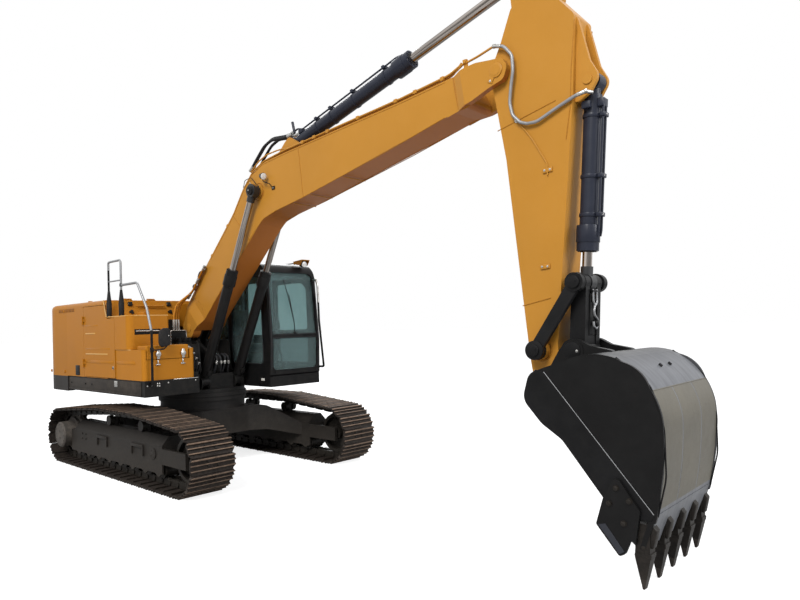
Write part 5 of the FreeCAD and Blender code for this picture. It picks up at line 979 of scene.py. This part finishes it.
def shaded_below(name, material, tone):
    """The finish with painted shade on what faces down at rest: darker and redder there."""
    shaded_copy = material.copy()
    shaded_copy.name = name
    tree = shaded_copy.node_tree
    shader = tree.nodes["Principled BSDF"]
    paint = shader.inputs["Base Color"].links[0].from_socket
    facing = node(tree, "SeparateXYZ", {0: node(tree, "TexCoord").outputs["Normal"]}).outputs["Z"]
    tree.links.new(blended(tree, spread(tree, facing, -0.15, -0.45), paint, tone),
                   shader.inputs["Base Color"])
    return shaded_copy


# The boom's downward faces get painted shade, darker and redder than its paint.
painted(["boom"], shaded_below("boom_orange_shaded_below", boom_orange, (0.36, 0.120, 0.022)))


def bead(points, radius=0.007):
    """Weld bead along a joint of plates."""
    return bar(bead_orange, points, radius, 0.03, 2)


BOOM_FOOT, BOOM_TIP = (0.030, 1.965), (5.332, 4.166)
BACK = [(0.47, 2.842), (1.160, 3.481), (1.402, 3.782), (1.610, 3.972), (1.855, 4.068), (2.30, 4.122),
        (4.17, 4.240), (4.78, 4.298)]
piping = []
for side in (-1, 1):
    for y, lift, start in ((0.150, 0.0, 0), (0.176, 0.006, 0), (0.122, 0.012, 3)):
        run = [at(x, side * y, z + lift) for x, z in BACK[start:]]
        piping.append(bar(boom_orange, run + [at(4.93, side * 0.183, 4.345 + lift * 2)], 0.0105, 0.10, 4))
    piping.append(bar(boom_orange, [at(1.56, side * 0.164, 3.99), at(1.72, side * 0.164, 4.095),
                                    at(1.90, side * 0.164, 4.150), at(2.14, side * 0.164, 4.160),
                                    at(2.42, side * 0.164, 4.135)], 0.009, 0.10, 4))
    for x, z, lean in ((0.62, 2.980, -0.745), (1.02, 3.350, -0.745), (2.62, 4.145, -0.063),
                       (2.83, 4.158, -0.063), (3.06, 4.172, -0.063), (3.55, 4.203, -0.063),
                       (4.10, 4.238, -0.063), (4.36, 4.260, -0.09), (4.70, 4.292, -0.09)):
        piping.append(block(boom_orange, at(x - 0.022, side * 0.163 - 0.030, z - 0.020),
                            at(x + 0.022, side * 0.163 + 0.030, z + 0.020), 0.006, lean, "Y"))
        piping += bolts(bright_steel, [at(x + 0.001, side * 0.163, z + 0.018)],
                        (-math.sin(-lean), 0, math.cos(lean)), 0.006, 0.005)
    for y in (0.150, 0.176):
        piping.append(rod(bright_steel, at(0.455, side * y, 2.828), at(0.505, side * y, 2.8745), 0.016,
                          0.002, 6))
piping.append(plate(boom_orange, [(4.940, 4.230), (5.005, 4.235), (5.000, 4.385), (4.985, 4.395),
                                  (4.965, 4.385)], -0.186, -0.178, 0.002))
piping.append(block(boom_orange, at(4.955, -0.205, 4.350), at(4.990, -0.172, 4.388), 0.005))
joined("boom_pipes", piping, "boom", 40)

UPPER_EDGE = [(0.60, 2.942), (1.17, 3.468), (1.44, 3.80), (1.60, 3.945), (1.84, 4.042), (2.30, 4.083),
              (4.17, 4.202), (4.74, 4.252)]
LOWER_EDGE = [(0.60, 2.262), (0.81, 2.452), (1.15, 2.742), (1.62, 3.172), (1.83, 3.325), (2.10, 3.392),
              (2.59, 3.468), (4.04, 3.745), (4.72, 3.893)]
BOOM_ROD_PIN = (1.750, 3.695)
welds = []
for side in (-1, 1):
    y = side * 0.1905
    welds.append(bead([at(0.405, y, 2.095), at(0.335, y, 2.30), at(0.130, y, 2.415)], 0.0035))
    welds.append(bead([at(4.885, y, 3.945), at(4.850, y, 4.150), at(4.835, y, 4.262)]))
    welds.append(bead([at(1.18, y, 3.455), at(1.52, y, 3.10)], 0.004))
    welds.append(bead([at(2.62, y, 3.482), at(2.55, y, 4.105)], 0.004))
    welds.append(bar(bead_orange, ring(BOOM_ROD_PIN, y, 0.112), 0.007, 0.02, 2))
    for edge, rise in ((UPPER_EDGE, -0.010), (LOWER_EDGE, 0.010)):
        welds.append(bar(bead_orange, [at(x, side * 0.1895, z + rise) for x, z in edge], 0.0045, 0.08, 2))
for x in (2.44, 2.74, 3.30):
    z = 3.44 + (x - 2.44) * 0.192
    welds.append(bead([at(x, -0.176, z - 0.004), at(x + 0.002, 0.176, z - 0.004)], 0.005))
joined("boom_welds", welds, "boom", 50)

# Work lamp on a thin stay, the pin cap's grease hose and the caps of the boom's pins.
fitted = [rod(cab_black, at(1.905, -0.262, 3.862), at(1.965, -0.272, 3.845), 0.034, 0.006, 28, 0.046),
          rod(lens_white, at(1.960, -0.2713, 3.8464), at(1.969, -0.2730, 3.8438), 0.040, 0.002, 28),
          bar(cab_black, [at(1.935, -0.262, 3.815), at(1.945, -0.262, 3.785), at(2.03, -0.235, 3.745),
                          at(2.045, -0.200, 3.705), at(2.06, -0.188, 3.690)], 0.006, 0.02),
          block(cab_black, at(2.03, -0.200, 3.670), at(2.09, -0.188, 3.715), 0.004)]
fitted += bolts(bright_steel, [at(2.06, -0.200, 3.692)], (0, -1, 0), 0.007, 0.005)
for side in (-1, 1):
    fitted.append(bar(rubber, [at(1.72, side * 0.196, 3.79), at(1.64, side * 0.221, 3.90),
                               at(1.50, side * 0.223, 3.885), at(1.44, side * 0.205, 3.80)], 0.0045, 0.06,
                      3))
    fitted.append(cap(boom_orange, BOOM_TIP, side, 0.240, 0.2505, 0.066, 0.004))
    fitted.append(block(boom_orange, at(5.262, side * 0.2445 - 0.004, 4.062),
                        at(5.312, side * 0.2445 + 0.004, 4.152), 0.003, 0.45))
    fitted += bolts(bright_steel, [at(5.273, side * 0.2485, 4.083)], (0, side, 0), 0.009, 0.004)
    fitted.append(cap(boom_orange, BOOM_FOOT, side, 0.2345, 0.2438, 0.066))
joined("boom_fittings", fitted, "boom")

# Hoses from the pipes to the arm's cylinder, and the loop past the boom's tip to the arm.
feed = []
for y, drop in ((-0.045, 0.0), (0.045, 0.0), (-0.078, 0.03)):
    feed += hose([at(1.44, y, 4.045), at(1.54, y, 4.17 - drop), at(1.74, y, 4.335 - drop),
                  at(1.90, y, 4.385 - drop), at(2.16, y, 4.352 - drop), at(2.300, y, 4.362 - drop)], 0.0185,
                 (True, True), 0.14)
supply = joined("arm_cylinder_hoses", feed, None, 40)
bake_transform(supply)
loops = []
drops = []
for side in (-1, 1):
    loops += [bar(boom_orange, [at(4.93, side * 0.182, 4.350), at(5.12, side * 0.198, 4.368),
                                at(5.292, side * 0.205, 4.402)], 0.0105, 0.06, 4)]
    loops += hose([at(5.300, side * 0.205, 4.402), at(5.400, side * 0.212, 4.368),
                   at(5.482, side * 0.215, 4.262), at(5.487, side * 0.215, 4.120),
                   at(5.462, side * 0.212, 4.000), at(5.440, side * 0.208, 3.850),
                   at(5.462, side * 0.205, 3.735), at(5.530, side * 0.202, 3.655),
                   at(5.600, side * 0.200, 3.626)], 0.0145, (True, False), 0.09, body=rail_grey)
    drops += hose([at(5.594, side * 0.200, 3.627), at(5.690, side * 0.198, 3.622),
                   at(5.860, side * 0.194, 3.690), at(6.030, side * 0.190, 3.752),
                   at(6.118, side * 0.172, 3.772)], 0.0145, (False, True), 0.09, body=rail_grey)
    drops.append(rod(bright_steel, at(6.112, side * 0.182, 3.770), at(6.142, side * 0.110, 3.768), 0.016,
                     0.003, 16))
tip_loop = joined("boom_tip_hoses", loops, None, 40)
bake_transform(tip_loop)
arm_drop = joined("arm_side_hoses", drops, None, 40)
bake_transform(arm_drop)


# ---------------------------------------------------------------- arm
# Tapered welded box with cast bosses.  Beads cross its sides where inner plates sit; pads, pipe
# clamps and the pins' retainers are welded and bolted on.
ARM_TIP, ROCKER_PIN, LINK_PIN, BUCKET_LINK_PIN = (5.70, 1.248), (5.64, 1.665), (5.983, 2.224), (5.945, 1.66)
stick = []
for side in (-1, 1):
    y = side * 0.1655
    for run in ([(5.285, 3.643), (5.85, 3.769)], [(5.476, 2.051), (5.743, 2.105)],
                [(6.040, 4.39), (5.994, 3.98), (5.978, 3.70), (5.93, 3.42)]):
        stick.append(bead([at(x, y, z) for x, z in run], 0.0045))
    stick.append(bar(bead_orange, ring(ARM_TIP, y, 0.122), 0.005, 0.02, 2))
    stick.append(bar(bead_orange, ring(ROCKER_PIN, y, 0.095), 0.006, 0.02, 2))
    stick.append(cap(boom_orange, ARM_TIP, side, 0.165, 0.171, 0.060, 0.002))
    for x, z, lean in ((5.757, 3.195, -0.06), (5.704, 2.376, -0.06)):
        stick.append(block(boom_orange, at(x - 0.045, side * 0.1715 - 0.008, z - 0.020),
                           at(x + 0.045, side * 0.1715 + 0.008, z + 0.020), 0.005, lean))
        stick += bolts(bright_steel, [at(x + shift, side * 0.1795, z) for shift in (-0.025, 0.025)],
                       (0, side, 0), 0.008, 0.006)
    stick.append(bar(boom_orange, [at(5.50, side * 0.1715, 3.665), at(5.62, side * 0.1745, 3.50),
                                   at(5.757, side * 0.1745, 3.25), at(5.757, side * 0.1745, 3.15)], 0.006,
                     0.08))
    stick += bolts(bright_steel, [at(5.478, side * 0.166, 3.690)], (0, side, 0), 0.016, 0.012)
joined("arm_fittings", stick, "arm", 45)


# ---------------------------------------------------------------- cylinders
# Drawn steel barrels with bolted glands are painted black, and their rods are hard chromed steel with
# black forged eyes.  Steel pipes run along the barrels under clamps, from the ports at their ends.
cylinder_black = coated("cylinder_black", (0.0085, 0.0082, 0.0082), 0.34, vary=0.12, dust=0.025, fine=260.0,
                        bump=0.015, dust_tone=(0.10, 0.085, 0.07), Specular_IOR_Level=0.14)
cylinder_blue = coated("cylinder_blue_black", (0.017, 0.020, 0.032), 0.34, vary=0.12, dust=0.02, fine=260.0,
                       bump=0.015, dust_tone=(0.10, 0.09, 0.09), Specular_IOR_Level=0.22)


def chromed(name, base, eye, apart, radius):
    """Chrome within the rod's radius about its line, and black paint on the forged eye beyond it."""
    tree, shader, material = shader_of(name)
    place = node(tree, "TexCoord").outputs["Object"]
    folded = node(tree, "SeparateXYZ", {0: place})
    near = node(tree, "Math", {0: folded.outputs["Y"]}, operation="ABSOLUTE").outputs[0]
    point = node(tree, "CombineXYZ", {0: folded.outputs["X"], 1: near, 2: folded.outputs["Z"]}).outputs[0]
    start = at(base[0], apart, base[1])
    line = (at(eye[0], apart, eye[1]) - start).normalized()
    arm = node(tree, "VectorMath", {0: point, 1: tuple(start)}, operation="SUBTRACT").outputs[0]
    across = node(tree, "VectorMath", {0: arm, 1: tuple(line)}, operation="CROSS_PRODUCT").outputs[0]
    away = node(tree, "VectorMath", {0: across}, operation="LENGTH").outputs["Value"]
    forged = spread(tree, away, radius + 0.001, radius + 0.0015)
    over = Vector((-line.z, 0, line.x))
    lengthwise = node(tree, "VectorMath", {0: arm, 1: tuple(line * 0.8)},
                      operation="DOT_PRODUCT").outputs["Value"]
    sideways = node(tree, "VectorMath", {0: arm, 1: tuple(over * 42 + Vector((0, 42, 0)))},
                    operation="DOT_PRODUCT").outputs["Value"]
    grain = node(tree, "CombineXYZ", {0: lengthwise, 1: sideways}).outputs[0]
    wear = node(tree, "TexNoise", {"Vector": grain, "Scale": 1.0, "Detail": 5.0,
                                   "Roughness": 0.6}).outputs[0]
    shine = blended(tree, spread(tree, wear, 0.40, 0.60), (0.52, 0.47, 0.43), (0.16, 0.14, 0.125))
    tree.links.new(blended(tree, forged, shine, (0.013, 0.0135, 0.015)), shader.inputs["Base Color"])
    tree.links.new(spread(tree, forged, 0.0, 1.0, 1.0, 0.0), shader.inputs["Metallic"])
    rough = node(tree, "Math", {0: spread(tree, wear, 0.3, 0.7, 0.10, 0.22),
                                1: spread(tree, forged, 0, 1, 0.0, 0.25)}, operation="ADD").outputs[0]
    tree.links.new(rough, shader.inputs["Roughness"])
    fine = node(tree, "TexNoise", {"Vector": place, "Scale": 380.0, "Detail": 4.0}).outputs[0]
    tree.links.new(node(tree, "Bump", {"Strength": 0.02, "Distance": 0.001, "Height": fine}).outputs[0],
                   shader.inputs["Normal"])
    return material


def beside(base, eye, travel, lift, y):
    """Place at a distance along a cylinder's line and above it, y from the middle plane."""
    line = Vector((eye[0] - base[0], 0, eye[1] - base[1])).normalized()
    up = Vector((-line.z, 0, line.x))
    return at(base[0], y, base[1]) + line * travel + up * lift


def cylinder_trim(base, eye, y, length, outer, gland, shaft, lift, clamps, finish, apart=0.032):
    """Gland bolts, wiper ring and port of one barrel; with clamps, its two pipes on the side of lift."""
    line = Vector((eye[0] - base[0], 0, eye[1] - base[1])).normalized()
    up = Vector((-line.z, 0, line.x))
    side = Vector((0, 1, 0))
    end = at(base[0], y, base[1]) + line * length
    pieces = []
    for step in range(10):
        turn = 2 * math.pi * (step + 0.5) / 10
        spot = end + (up * math.cos(turn) + side * math.sin(turn)) * (gland * 0.80)
        pieces += bolts(bright_steel if step == 0 else finish, [spot - line * 0.002], line, 0.009, 0.010)
    pieces.append(rod(finish, end - line * 0.215, end - line * 0.070, gland + 0.006, 0.004, 32))
    pieces.append(rod(rubber, end - line * 0.004, end + line * 0.010, shaft + 0.016, 0.003, 32))
    sign = math.copysign(1, lift)
    lean = math.atan2(line.z, line.x)
    for shift in (-apart / 2, apart / 2) if clamps else ():
        pieces.append(bar(finish, [beside(base, eye, 0.17, sign * (outer + 0.004), y + shift),
                                   beside(base, eye, 0.20, lift, y + shift),
                                   beside(base, eye, length - 0.17, lift, y + shift),
                                   beside(base, eye, length - 0.12, sign * (gland + 0.002), y + shift)],
                          0.0105, 0.04, 4))
    for travel in clamps:
        low = beside(base, eye, travel, 0, y)
        pieces.append(rod(finish, low - line * 0.016, low + line * 0.016, outer + 0.007, 0.003, 32))
        seat = beside(base, eye, travel, lift, y)
        half_clip = Vector((0.018, apart / 2 + 0.020, 0.020))
        pieces.append(block(finish, seat - half_clip, seat + half_clip, 0.005, -lean))
        pieces += bolts(bright_steel, [seat + up * sign * 0.018], up * sign, 0.0075, 0.006)
    port = beside(base, eye, 0.18, sign * (outer + 0.010), y)
    half_port = Vector((0.035, apart, 0.025))
    pieces.append(block(finish, port - half_port, port + half_port, 0.006, -lean))
    return pieces


BOOM_CYLINDER = ((0.475, 1.200), BOOM_ROD_PIN)
ARM_CYLINDER = ((2.292, 4.216), (5.530, 5.040))
BUCKET_CYLINDER = ((6.110, 3.885), LINK_PIN)
painted(["boom_cylinder_barrels"], cylinder_black)
painted(["arm_cylinder_barrel", "bucket_cylinder_barrel"], cylinder_blue)
painted(["boom_cylinder_rods"], chromed("boom_rod_chrome", *BOOM_CYLINDER, 0.28, 0.042))
painted(["arm_cylinder_rod"], chromed("arm_rod_chrome", *ARM_CYLINDER, 0.0, 0.050))
painted(["bucket_cylinder_rod"], chromed("bucket_rod_chrome", *BUCKET_CYLINDER, 0.0, 0.040))
trims = []
for y in (-0.28, 0.28):
    trims += cylinder_trim(*BOOM_CYLINDER, y, 1.700, 0.070, 0.080, 0.042, -0.098, (), cylinder_black)
joined("boom_cylinder_trim", trims, "boom_barrels", 40)
trims = cylinder_trim(*ARM_CYLINDER, 0.0, 1.960, 0.080, 0.098, 0.050, 0.112, (0.46, 0.72, 1.10, 1.60),
                      cylinder_blue, 0.060)
for y in (-0.045, 0.045):
    trims.append(bar(cylinder_blue, [at(2.300, y, 4.362), beside(*ARM_CYLINDER, 0.13, 0.148, y),
                                     beside(*ARM_CYLINDER, 0.20, 0.112, y * 0.67)], 0.011, 0.04, 4))
trims.append(rod(cylinder_blue, beside(*ARM_CYLINDER, 0.10, 0.098, -0.078),
                 beside(*ARM_CYLINDER, 0.10, 0.250, -0.078), 0.017, 0.003))
joined("arm_cylinder_trim", trims, "arm_barrel", 40)
trims = cylinder_trim(*BUCKET_CYLINDER, 0.0, 1.400, 0.072, 0.090, 0.040, 0.100, (0.28, 0.78, 1.10),
                      cylinder_blue, 0.050)
trims.append(block(cylinder_blue, at(6.045, -0.115, 3.655), at(6.115, -0.060, 3.715), 0.006))
joined("bucket_cylinder_trim", trims, "bucket_barrel", 40)
caps = []
for side in (-1, 1):
    x, z = BOOM_ROD_PIN
    caps += bolts(bright_steel, [at(x, side * 0.353, z)], (0, side, 0), 0.010, 0.006)
    caps.append(cap(cylinder_black, BOOM_ROD_PIN, side, 0.350, 0.357, 0.048))
    caps.append(rod(bright_steel, at(1.750, side * 0.325, 3.783), at(1.750, side * 0.325, 3.797), 0.006,
                    0.002, 10))
joined("boom_rod_caps", caps, "boom_rods")


# ---------------------------------------------------------------- linkage and bucket
# Forged rockers and a cast link turn the bucket.  The bucket is welded from rolled and flat plate in black,
# with a painted grey reflection on its rolled back, wear plates, bolted side cutters and five cast teeth.
link_black = coated("link_black", (0.0075, 0.0075, 0.008), 0.36, vary=0.14, dust=0.02, fine=240.0, bump=0.02,
                    dust_tone=(0.08, 0.075, 0.07), Specular_IOR_Level=0.12)
wear_grey = coated("wear_grey", (0.112, 0.103, 0.082), 0.46, vary=0.12, patch=3.0, dust=0.10, fine=120.0,
                   bump=0.04, dust_tone=(0.075, 0.070, 0.060), Metallic=0.15, Specular_IOR_Level=0.3)


def back_reflection(name, black, grey):
    """Black plate, with grey streaks on the rolled back between the sides: a painted reflection of the
    light.
    """
    material = coated(name, black, 0.38, vary=0.15, dust=0.015, fine=180.0, bump=0.02,
                      dust_tone=(0.06, 0.058, 0.055), Specular_IOR_Level=0.12)
    tree = material.node_tree
    shader = tree.nodes["Principled BSDF"]
    paint = shader.inputs["Base Color"].links[0].from_socket
    place = node(tree, "TexCoord").outputs["Object"]
    parts = node(tree, "SeparateXYZ", {0: place})
    width = node(tree, "Math", {0: parts.outputs["Y"]}, operation="ABSOLUTE").outputs[0]
    inside = spread(tree, width, 0.5885, 0.5895, 1.0, 0.0)
    back = spread(tree, parts.outputs["X"], swing_axis + 6.22, swing_axis + 6.58)
    streak = node(tree, "TexNoise", {"Vector": node(tree, "VectorMath", {0: place, 1: (3.0, 14.0, 2.0)},
                                                    operation="MULTIPLY").outputs[0], "Scale": 1.6,
                                     "Detail": 8.0}).outputs[0]
    share = node(tree, "Math", {0: inside, 1: back}, operation="MULTIPLY").outputs[0]
    share = node(tree, "Math", {0: share, 1: spread(tree, streak, 0.3, 0.62, 0.72, 1.0)},
                 operation="MULTIPLY").outputs[0]
    tree.links.new(blended(tree, share, paint, grey), shader.inputs["Base Color"])
    return material


tooth_steel = coated("tooth_steel", (0.015, 0.0125, 0.0105), 0.48, vary=0.3, patch=16.0, dust=0.10,
                     fine=150.0, bump=0.10, dust_tone=(0.050, 0.041, 0.034), Metallic=0.15,
                     Specular_IOR_Level=0.2)
banded(tooth_steel, 0.075, (0.040, 0.033, 0.028))
painted(["rocker_links", "bucket_link"], link_black)
# The bucket's rolled back is painted grey in streaks as its reflection of the light.
painted(["bucket"], back_reflection("bucket_plate", (0.0080, 0.0078, 0.0080), (0.150, 0.155, 0.168)))
painted(["bucket_teeth"], tooth_steel)


def arc_through(first, middle, last, count, lift):
    """Points on the circle through three points, moved outwards by lift."""
    (ax, az), (bx, bz), (cx, cz) = first, middle, last
    scale = 2 * (ax * (bz - cz) + bx * (cz - az) + cx * (az - bz))
    ux = ((ax * ax + az * az) * (bz - cz) + (bx * bx + bz * bz) * (cz - az) + (cx * cx + cz * cz)
          * (az - bz)) / scale
    uz = ((ax * ax + az * az) * (cx - bx) + (bx * bx + bz * bz) * (ax - cx) + (cx * cx + cz * cz)
          * (bx - ax)) / scale
    reach = math.hypot(ax - ux, az - uz) + lift
    start, end = math.atan2(az - uz, ax - ux), math.atan2(cz - uz, cx - ux)
    return [(ux + reach * math.cos(start + (end - start) * step / count),
             uz + reach * math.sin(start + (end - start) * step / count)) for step in range(count + 1)]


CURVE = [((6.450, 1.628), (6.672, 1.440), (6.765, 1.150)), ((6.765, 1.150), (6.740, 0.800), (6.690, 0.520))]
outside, within = [arc_through(*CURVE[0], 16, lift)[9:] + arc_through(*CURVE[1], 12, lift)[1:12]
                   for lift in (0.0008, -0.003)]
plates = []
for y0, y1 in ((-0.588, -0.218), (-0.202, 0.202), (0.218, 0.588)):
    plates.append(plate(wear_grey, outside + within[::-1], y0, y1, 0.0015))
for y in (-0.10, 0.10):
    plates.append(block(rubber, at(6.572, y - 0.005, 1.541), at(6.602, y + 0.005, 1.560), 0.003, 0.70))
for y in (-0.210, 0.210):
    plates.append(plate(rubber, [(px - 0.0015, pz) for px, pz in outside] + within[::-1], y - 0.0085,
                        y + 0.0085, 0.0003))
edge = outside[0]
plates.append(bar(wear_grey, [at(edge[0] - 0.002, -0.585, edge[1]), at(edge[0] - 0.002, 0.585, edge[1])],
                  0.005))
joined("wear_plates", plates, "bucket", 30)

cutter_grey = coated("cutter_grey", (0.030, 0.032, 0.040), 0.42, vary=0.1, dust=0.02,
                     dust_tone=(0.06, 0.06, 0.06), Specular_IOR_Level=0.2)
sides = []
for side in (-1, 1):
    low, high = sorted((side * 0.614, side * 0.6205))
    bar_plate = [(5.825, 1.530), (5.900, 1.512), (6.690, 0.545), (6.665, 0.500), (6.475, 0.492),
                 (6.355, 0.605), (6.045, 0.985), (5.885, 1.118), (5.775, 1.215), (5.722, 1.300),
                 (5.735, 1.410), (5.775, 1.495)]
    sides.append(plate(link_black, bar_plate, low, high, 0.002))
    # A thin grey bar along each side bar's edge is a painted highlight.
    sides.append(bar(rail_grey, [at(5.895, side * 0.621, 1.514), at(6.684, side * 0.621, 0.548)], 0.0030))
    spots = [at(x, side * 0.6455, z) for x, z in ((6.439, 0.700), (6.530, 0.620), (6.386, 0.583),
                                                  (6.485, 0.456))]
    sides += bolts(tooth_steel, spots, (0, side, 0), 0.019, 0.014)
    sides.append(plate(cutter_grey, [(6.352, 0.432), (6.298, 0.418), (6.446, 0.232), (6.482, 0.258)],
                       *sorted((side * 0.6445, side * 0.649)), 0.001))
    for spot, reach, size in ((ARM_TIP, 0.2465, 0.060), (BUCKET_LINK_PIN, 0.2310, 0.072)):
        sides.append(cap(link_black, spot, side, reach - 0.004, reach + 0.005, size))
        sides += bolts(bright_steel, [at(spot[0] + size * 0.6, side * (reach + 0.004), spot[1])],
                       (0, side, 0), 0.009, 0.005)
    sides.append(bar(link_black, [at(6.70, side * 0.590, 0.53), at(6.765, side * 0.590, 0.80),
                                  at(6.775 - 0.010, side * 0.590, 1.15), at(6.685, side * 0.590, 1.44),
                                  at(6.45, side * 0.590, 1.632)], 0.006, 0.10, 2))
joined("bucket_side_bars", sides, "bucket", 35)

TOOTH_PITCH = 0.282
points = []
for index in range(5):
    y = (index - 2) * TOOTH_PITCH
    for side in (-1, 1):
        points.append(rod(tooth_steel, at(6.602, y + side * 0.046, 0.300),
                          at(6.602, y + side * 0.052, 0.300), 0.017, 0.003, 16))
    points.append(plate(tooth_steel, [(6.536, 0.236), (6.545, 0.268), (6.655, 0.262), (6.650, 0.226)],
                        y - 0.0505, y + 0.0505, 0.004))
    points.append(plate(tooth_steel, [(6.628, 0.500), (6.655, 0.478), (6.693, 0.430), (6.664, 0.300),
                                      (6.640, 0.300), (6.612, 0.440)], y - 0.036, y + 0.036, 0.010, steps=2))
joined("tooth_adapters", points, "bucket", 35)

turns = []
for side in (-1, 1):
    for spot, reach, size in ((ROCKER_PIN, 0.313, 0.050), (LINK_PIN, 0.254, 0.052)):
        turns.append(cap(link_black, spot, side, reach - 0.006, reach + 0.004, size))
        turns += bolts(link_black, [at(spot[0] + size * 0.45, side * (reach + 0.004), spot[1] + 0.01)],
                       (0, side, 0), 0.008, 0.005)
    for spot, y, size in ((ROCKER_PIN, 0.2385, 0.083), (ROCKER_PIN, 0.296, 0.082), (LINK_PIN, 0.172, 0.082)):
        turns.append(cap(link_black, spot, side, y, y + 0.006, size, 0.002))
joined("rocker_caps", turns, "rockers", 40)

# Lifting shackle and hook under the link.
BAIL = [(-0.034, 2.165), (-0.034, 2.065), (-0.010, 2.030), (0.010, 2.030), (0.034, 2.065), (0.034, 2.165)]
HOOK = [(0.0, 2.045), (-0.030, 1.985), (-0.018, 1.945), (0.034, 1.915), (0.040, 1.865), (0.0, 1.835),
        (-0.042, 1.858), (-0.044, 1.895)]
shackle = [bar(rail_grey, [at(6.052, y, z) for y, z in BAIL], 0.009, 0.03),
           rod(link_black, at(6.050, -0.056, 2.150), at(6.050, 0.056, 2.150), 0.012, 0.002, 16),
           bar(rail_grey, [at(6.052, y, z) for y, z in HOOK], 0.0095, 0.035, 4),
           rod(link_black, at(6.030, 0.0, 1.880), at(6.075, 0.0, 1.880), 0.028, 0.005, 20),
           block(link_black, at(5.985, -0.085, 1.780), at(6.020, 0.085, 2.060), 0.010),
           bar(link_black, [at(6.045, -0.066, 2.13), at(6.020, -0.066, 1.78)], 0.006),
           bar(link_black, [at(6.045, 0.066, 2.13), at(6.020, 0.066, 1.78)], 0.006)]
joined("link_hook", shackle, "link", 40)
